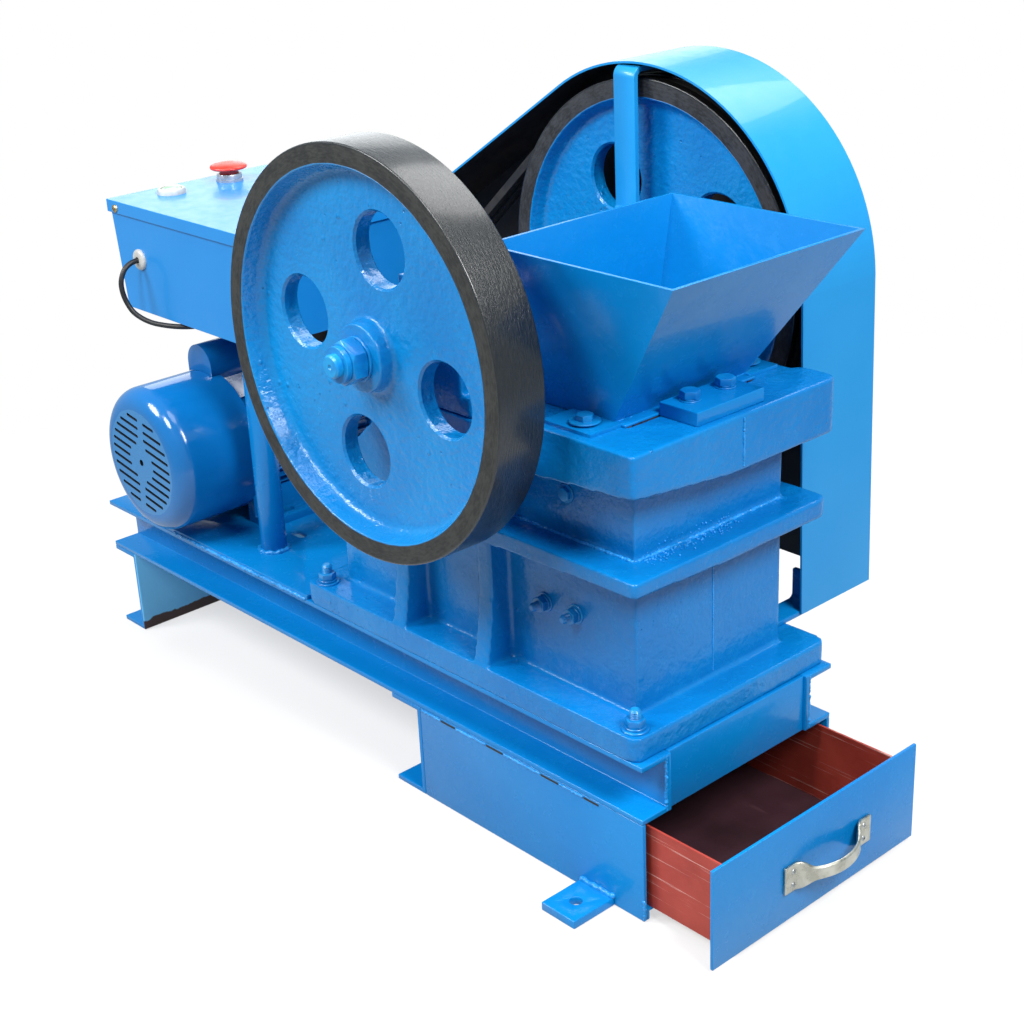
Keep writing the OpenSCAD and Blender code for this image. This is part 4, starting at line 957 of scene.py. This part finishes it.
def block(name, low, high, edge, segments):
    """A block between two corners, its edges rounded."""
    low, high = Vector(low), Vector(high)
    bpy.ops.object.select_all(action="DESELECT")
    bpy.ops.mesh.primitive_cube_add(size=MM, location=(low + high) / 2 * MM)
    obj = bpy.context.object
    obj.name = name
    obj.scale = high - low
    bpy.ops.object.transform_apply()
    modify(obj, "BEVEL", width=edge * MM, segments=segments, limit_method="ANGLE")
    return obj


def slab(name, low, high, finish):
    thin = min(Vector(high) - Vector(low))
    obj = block(name, low, high, 0.4 * thin, 3)
    smooth_by(40)
    return dress(obj, "machine", "blue_sheet", finish)


slab("jaw_top_strip", (-13, -78, 416.8), (0.5, 78, 419.4), sheet_blue)
for i, (start, end) in enumerate(STITCHES):
    # Each gap is a near-black slab of painted shade.
    slab(f"stitch_gap_painted_shade_{i}", (start, -122.5, 91.2), (end, -121, 93.4), painted_shade_dark)
for i, start in enumerate(WELD_STARTS):
    end = STITCHES[i][0] - 2
    bead(f"stitch_weld_{i}", [(start, STITCH_Y, STITCH_Z), (end, STITCH_Y, STITCH_Z)], 1.5, 40 + i)
bead("top_parting_line", [(49.0, 7, 373), (49.2, 7.2, 413)], 1.1, 17)
bead("wall_parting_line", [(WALL_X, 3, 178), (WALL_X, 3, 294)], 0.8, 18)
print(len(STITCHES), "stitches")

# %% [markdown]
# ## The motor
# A small single-phase motor: a ribbed frame, a smooth pressed cover over the fan with two columns of slots,
# and a capacitor in a housing on top. The cover's skin is copied from the solid and shaded smooth; its slot
# walls are painted near-black as painted shade, and its face inside the vent ring a paler blue as a painted
# reflection. The fan behind the slots is turned and painted near-black as painted shade, and a bare plate is
# riveted on where the label would be.

# %% Cover and fan


def smooth_copy(node, name, angle=30):
    """A copy of a solid with its flats joined and its curves shaded smooth."""
    obj = copied(node, name)
    bpy.ops.object.mode_set(mode="EDIT")
    bpy.ops.mesh.select_all(action="SELECT")
    bpy.ops.mesh.dissolve_limited(angle_limit=math.radians(0.5))
    bpy.ops.object.mode_set(mode="OBJECT")
    smooth_by(angle)
    return obj


MOTOR, VENT_R = (-629, 245), 58
cover = smooth_copy("motor_fan_cover", "motor_cover_pressing")
# Slot walls get the painted shade, the rest of the vent face the painted reflection.
paint(cover, motor_blue, painted_shade_dark, vent_reflection_blue)
for face in cover.data.polygons:
    off = math.hypot(face.center.x / MM - MOTOR[0], face.center.z / MM - MOTOR[1])
    if off < VENT_R:
        face.material_index = 1 if abs(face.normal.y) < 0.3 else 2
dress(cover, "machine", "motor_paint", stands_for=["motor_fan_cover"])
fan_profile = [(0, 140), (20, 140), (22, 138), (64, 138), (66, 136), (66, 133), (22, 133), (20, 128),
               (0, 128)]
fan = turned("cooling_fan", fan_profile, 64)
settle(fan, (MOTOR[0], 0, MOTOR[1]), TO_NEAR)
# The fan is near-black, painted shade behind the slots.
dress(fan, "machine", "belt_rubber", painted_shade_dark)
print("fan and cover dressed")

# %% Bare label plate
LABEL_HALF, LABEL_LEAN = Vector((17, 23, 0.4)), math.radians(26)
LABEL_R, LABEL_Y = 70.6, -34
plate = block("bare_label_plate", -LABEL_HALF, LABEL_HALF, 0.3, 2)
rivets = [settle(pan_screw("rivet", 1.4, 0.8), (x, y, 0.3)) for x in (-14, 14) for y in (-20, 20)]
plate = joined("bare_label_plate", plate, *rivets)
across, lift = LABEL_R * math.sin(LABEL_LEAN), LABEL_R * math.cos(LABEL_LEAN)
settle(plate, (MOTOR[0] + across, LABEL_Y, MOTOR[1] + lift), (0, LABEL_LEAN, 0))
dress(plate, "machine", "white_plastic", label_white)
print("label plate riveted")

# %% [markdown]
# ## The push buttons
# A white bezel with a pale lens starts the machine and a red mushroom stops it. Both are small turned shapes,
# and their caps are bodies of their own, so each cap is one piece and each collar another.

# %% Buttons and grommets
LID = 499
START, STOP = (-693, -43), (-693, 30)
bezel = [(11.2, LID), (15, LID), (15, LID + 3.4), (14.2, LID + 5.2), (12.8, LID + 6), (11.6, LID + 5.6),
         (11.2, LID + 4)]
collar = [(10.8, LID), (14.5, LID), (14.5, LID + 2.4), (13.6, LID + 3), (13.6, LID + 6.6), (13, LID + 8),
          (10.8, LID + 8)]
rings = []
for (x, y), ring, finish in ((START, bezel, white_plastic), (STOP, collar, collar_grey)):
    rings.append(settle(turned("ring", ring + ring[:1], 48), (x, y, 0)))
    paint(rings[-1], finish)
collars = joined("button_rings", *rings)
dress(collars, "machine", "white_plastic", stands_for=["button_collars"])
lens = [(0, LID - 2), (10.4, LID - 2), (10.4, LID + 4.2), (9.8, LID + 4.9), (7.2, LID + 5.1),
        (6.9, LID + 4.6), (0, LID + 4.7)]
lens = turned("start_lens", lens, 48)
dress(settle(lens, (*START, 0)), "start_cap", "green_plastic", green_plastic, stands_for=["start_button"])
NECK = LID + 13
head = [(0, LID - 2), (9.9, LID - 2), (9.9, NECK - 1), (11, NECK), (18.2, NECK), (19.6, NECK + 0.9),
        (20, NECK + 2.2), (19.4, NECK + 3.4), (17, NECK + 4.5), (12, NECK + 5.6), (6, NECK + 6.3),
        (0, NECK + 6.5)]
mushroom = settle(turned("stop_mushroom", head, 64, 40), (*STOP, 0))
dress(mushroom, "stop_cap", "red_plastic", red_plastic, stands_for=["stop_button"])
grommet = [(2.9, 0), (11, 0), (11, 1.6), (10.2, 2.8), (8.6, 3.6), (5.4, 4), (3.6, 4), (2.9, 3.4)]
for word, at, turn in (("box", (-677, -99, 442), TO_NEAR), ("motor", (-634, -12, 353), (0, 0, 0))):
    ring = settle(turned("grommet_" + word, grommet + grommet[:1], 40), at, turn)
    solids = ["cable_gland"] if word == "box" else ()
    dress(ring, "machine", "white_plastic", white_plastic, stands_for=solids)
print("buttons and grommets turned")

# %% [markdown]
# ## The guard and the drawer
# Both are sheet with one colour outside and another inside: the guard is sky blue with a dark inside, and the
# drawer is red primer whose inside is darker, a painted shade for the shade that falls into it. One mesh with
# two materials keeps the thin wall whole, and the inner faces are found by where they look: towards the
# middle of the guard, or into the drawer.

# %% Two-sided sheet
GUARD_MID_Z, LOOKS_IN = 300, 20
TRAY_FLOOR_Z, TRAY_WALL = 20, -50


def two_sided(node, name, inner, body, slot, outside, inside):
    """A copied sheet with a second finish on each face for which inner(centre, normal) holds."""
    obj = smooth_copy(node, name, 20)
    paint(obj, outside, inside)
    for face in obj.data.polygons:
        face.material_index = 1 if inner(face.center / MM, face.normal) else 0
    return dress(obj, body, slot, stands_for=[node])


def in_guard(centre, normal):
    middle = Vector((min(max(centre.x, MOTOR[0]), SHAFT[0]), centre.y, GUARD_MID_Z))
    return (middle - centre).dot(normal) > LOOKS_IN


def in_tray(centre, normal):
    return centre.x * normal.x < TRAY_WALL or (normal.z > 0.5 and centre.z < TRAY_FLOOR_Z)


two_sided("guard_band", "guard_band_sheet", in_guard, "machine", "guard_sheet", guard_blue, guard_dark)
two_sided("guard_face", "guard_face_sheet", lambda centre, normal: normal.y < -0.5, "machine", "guard_sheet",
          guard_blue, guard_dark)
# The drawer's darker inside is painted shade.
two_sided("drawer_box", "drawer_tray", in_tray, "drawer", "drawer_primer", drawer_red, tray_inside_shaded)
print("guard and drawer sheets")

# %% [markdown]
# ## The drawer handle
# A cast nickel handle: two screwed plates that narrow into a bowed strap with a thick border. Its middle line
# is drawn from the side by extruding a vertex, pulled up into a strip of five rows, and shaped row by row:
# wide at the plates, narrow at the bow. Then Solidify gives it its wall and a subdivision rounds it.

# %% Draw the handle
HANDLE_Y, HANDLE_Z, HALF_LEN, FACE = 10, 45, 57, 141
WALL, REACH, PLATE_T = 3.2, 18, 0.66
STRAP_HALF, PLATE_EXTRA, BORDER, STEPS = 5, 8, 0.9, 32
ROWS = (-1, -0.72, 0, 0.72, 1)
stations = []
for i in range(STEPS + 1):
    t = -1 + 2 * i / STEPS
    bow = max(0.0, 1 - (abs(t) / (PLATE_T + 0.05)) ** 2)
    spread = min(1.0, abs(t) / PLATE_T)
    half = STRAP_HALF + PLATE_EXTRA * spread ** 10
    stations.append((t * HALF_LEN + HANDLE_Y, FACE + WALL + REACH * bow ** 0.8, half))
handle = profile_mesh("cast_handle", [Vector((x, y, HANDLE_Z - 1)) * MM for y, x, _ in stations])
bpy.ops.mesh.select_all(action="SELECT")
for _ in ROWS[1:]:
    bpy.ops.mesh.extrude_region_move(TRANSFORM_OT_translate={"value": (0, 0, 0.5 * MM)})
bpy.ops.object.mode_set(mode="OBJECT")
levels = sorted({round(v.co.z / MM, 3) for v in handle.data.vertices})
for vertex in handle.data.vertices:
    row = ROWS[levels.index(round(vertex.co.z / MM, 3))]
    _, x, half = min(stations, key=lambda s: abs(s[0] * MM - vertex.co.y))
    vertex.co.z = (HANDLE_Z + row * half) * MM
    if abs(row) == 1 and x > FACE + WALL + 1:
        vertex.co.x += BORDER * MM
bpy.ops.object.mode_set(mode="EDIT")
bpy.ops.mesh.select_all(action="SELECT")
bpy.ops.mesh.normals_make_consistent(inside=False)
bpy.ops.object.mode_set(mode="OBJECT")
if sum(face.normal.x for face in handle.data.polygons) < 0:
    handle.data.flip_normals()
modify(handle, "SOLIDIFY", thickness=WALL * MM, offset=-1, use_even_offset=True)
modify(handle, "BEVEL", width=0.8 * MM, segments=2, limit_method="ANGLE", angle_limit=math.radians(50))
modify(handle, "SUBSURF", levels=1, render_levels=1)
bpy.ops.object.shade_smooth()
dress(handle, "drawer", "handle_nickel", nickel, stands_for=["drawer_handle"])
print("handle", len(handle.data.polygons), "faces")

# %% [markdown]
# ## Floor and light
# The photograph is a cut-out on white. A white floor keeps the soft shadow, and a white world closes the
# background. A world as bright as the paper would wash the blue out, so it is white to the camera and through
# glass, a cooler grey to a reflection, and lights the paint at a lower level, with six soft lamps round it.

# %% Stage and lamps
bpy.ops.object.select_all(action="DESELECT")
bpy.ops.mesh.primitive_plane_add(size=40, location=(0, 0, -0.0005))
floor = bpy.context.object
floor.name = "studio_floor"
floor_finish = Finish("studio_paper", Roughness=0.9, Specular_IOR_Level=0.1)
reach = (floor_finish.x * floor_finish.x + floor_finish.y * floor_finish.y) ** 0.5
floor_finish.feed({"Base Color": shade(232, 232, 232), "Alpha": reach.span(0.6, 1.5, 0.4, 0)})
paint(floor, floor_finish)


AIM = Vector((-0.25, 0, 0.25))


def lamp(name, spot, size, power):
    bpy.ops.object.light_add(type="AREA", location=spot)
    light = bpy.context.object
    light.name = name
    light.rotation_euler = (Vector(spot) - AIM).to_track_quat("Z", "Y").to_euler()
    light.data.shape = "DISK"
    light.data.size = size
    light.data.energy = power


lamp("left_softbox", (-1.53, -1.82, 1.95), 1.0, 50)
lamp("near_softbox", (-0.11, -1.85, 2.35), 0.9, 42)
lamp("right_softbox", (1.71, -0.17, 2.24), 1.0, 82)
lamp("top_softbox", (0.17, -0.28, 3.0), 1.2, 16)
lamp("back_softbox", (-0.45, 1.4, 2.45), 1.5, 30)
lamp("wall_glow", (-2.36, 1.61, 1.13), 1.8, 13)
print("stage and lamps set")

# %% World
LIT, MIRRORED, WHITE = (0.25, 0.25, 0.25), (0.46, 0.56, 0.62), (1, 1, 1)
world = bpy.data.worlds.new("studio_white")
bpy.context.scene.world = world
world.use_nodes = True
tree = world.node_tree
path = tree.nodes.new("ShaderNodeLightPath")
below = None
for ray, tone in (("Is Glossy Ray", MIRRORED), ("Is Transmission Ray", WHITE), ("Is Camera Ray", WHITE)):
    mixer = tree.nodes.new("ShaderNodeMix")
    mixer.data_type = "RGBA"
    tree.links.new(path.outputs[ray], mixer.inputs[0])
    mixer.inputs[MIX_A].default_value = (*LIT, 1)
    mixer.inputs[MIX_B].default_value = (*tone, 1)
    if below:
        tree.links.new(below, mixer.inputs[MIX_A])
    below = mixer.outputs[MIX_COLOR]
tree.links.new(below, tree.nodes["Background"].inputs["Color"])
print("world set")
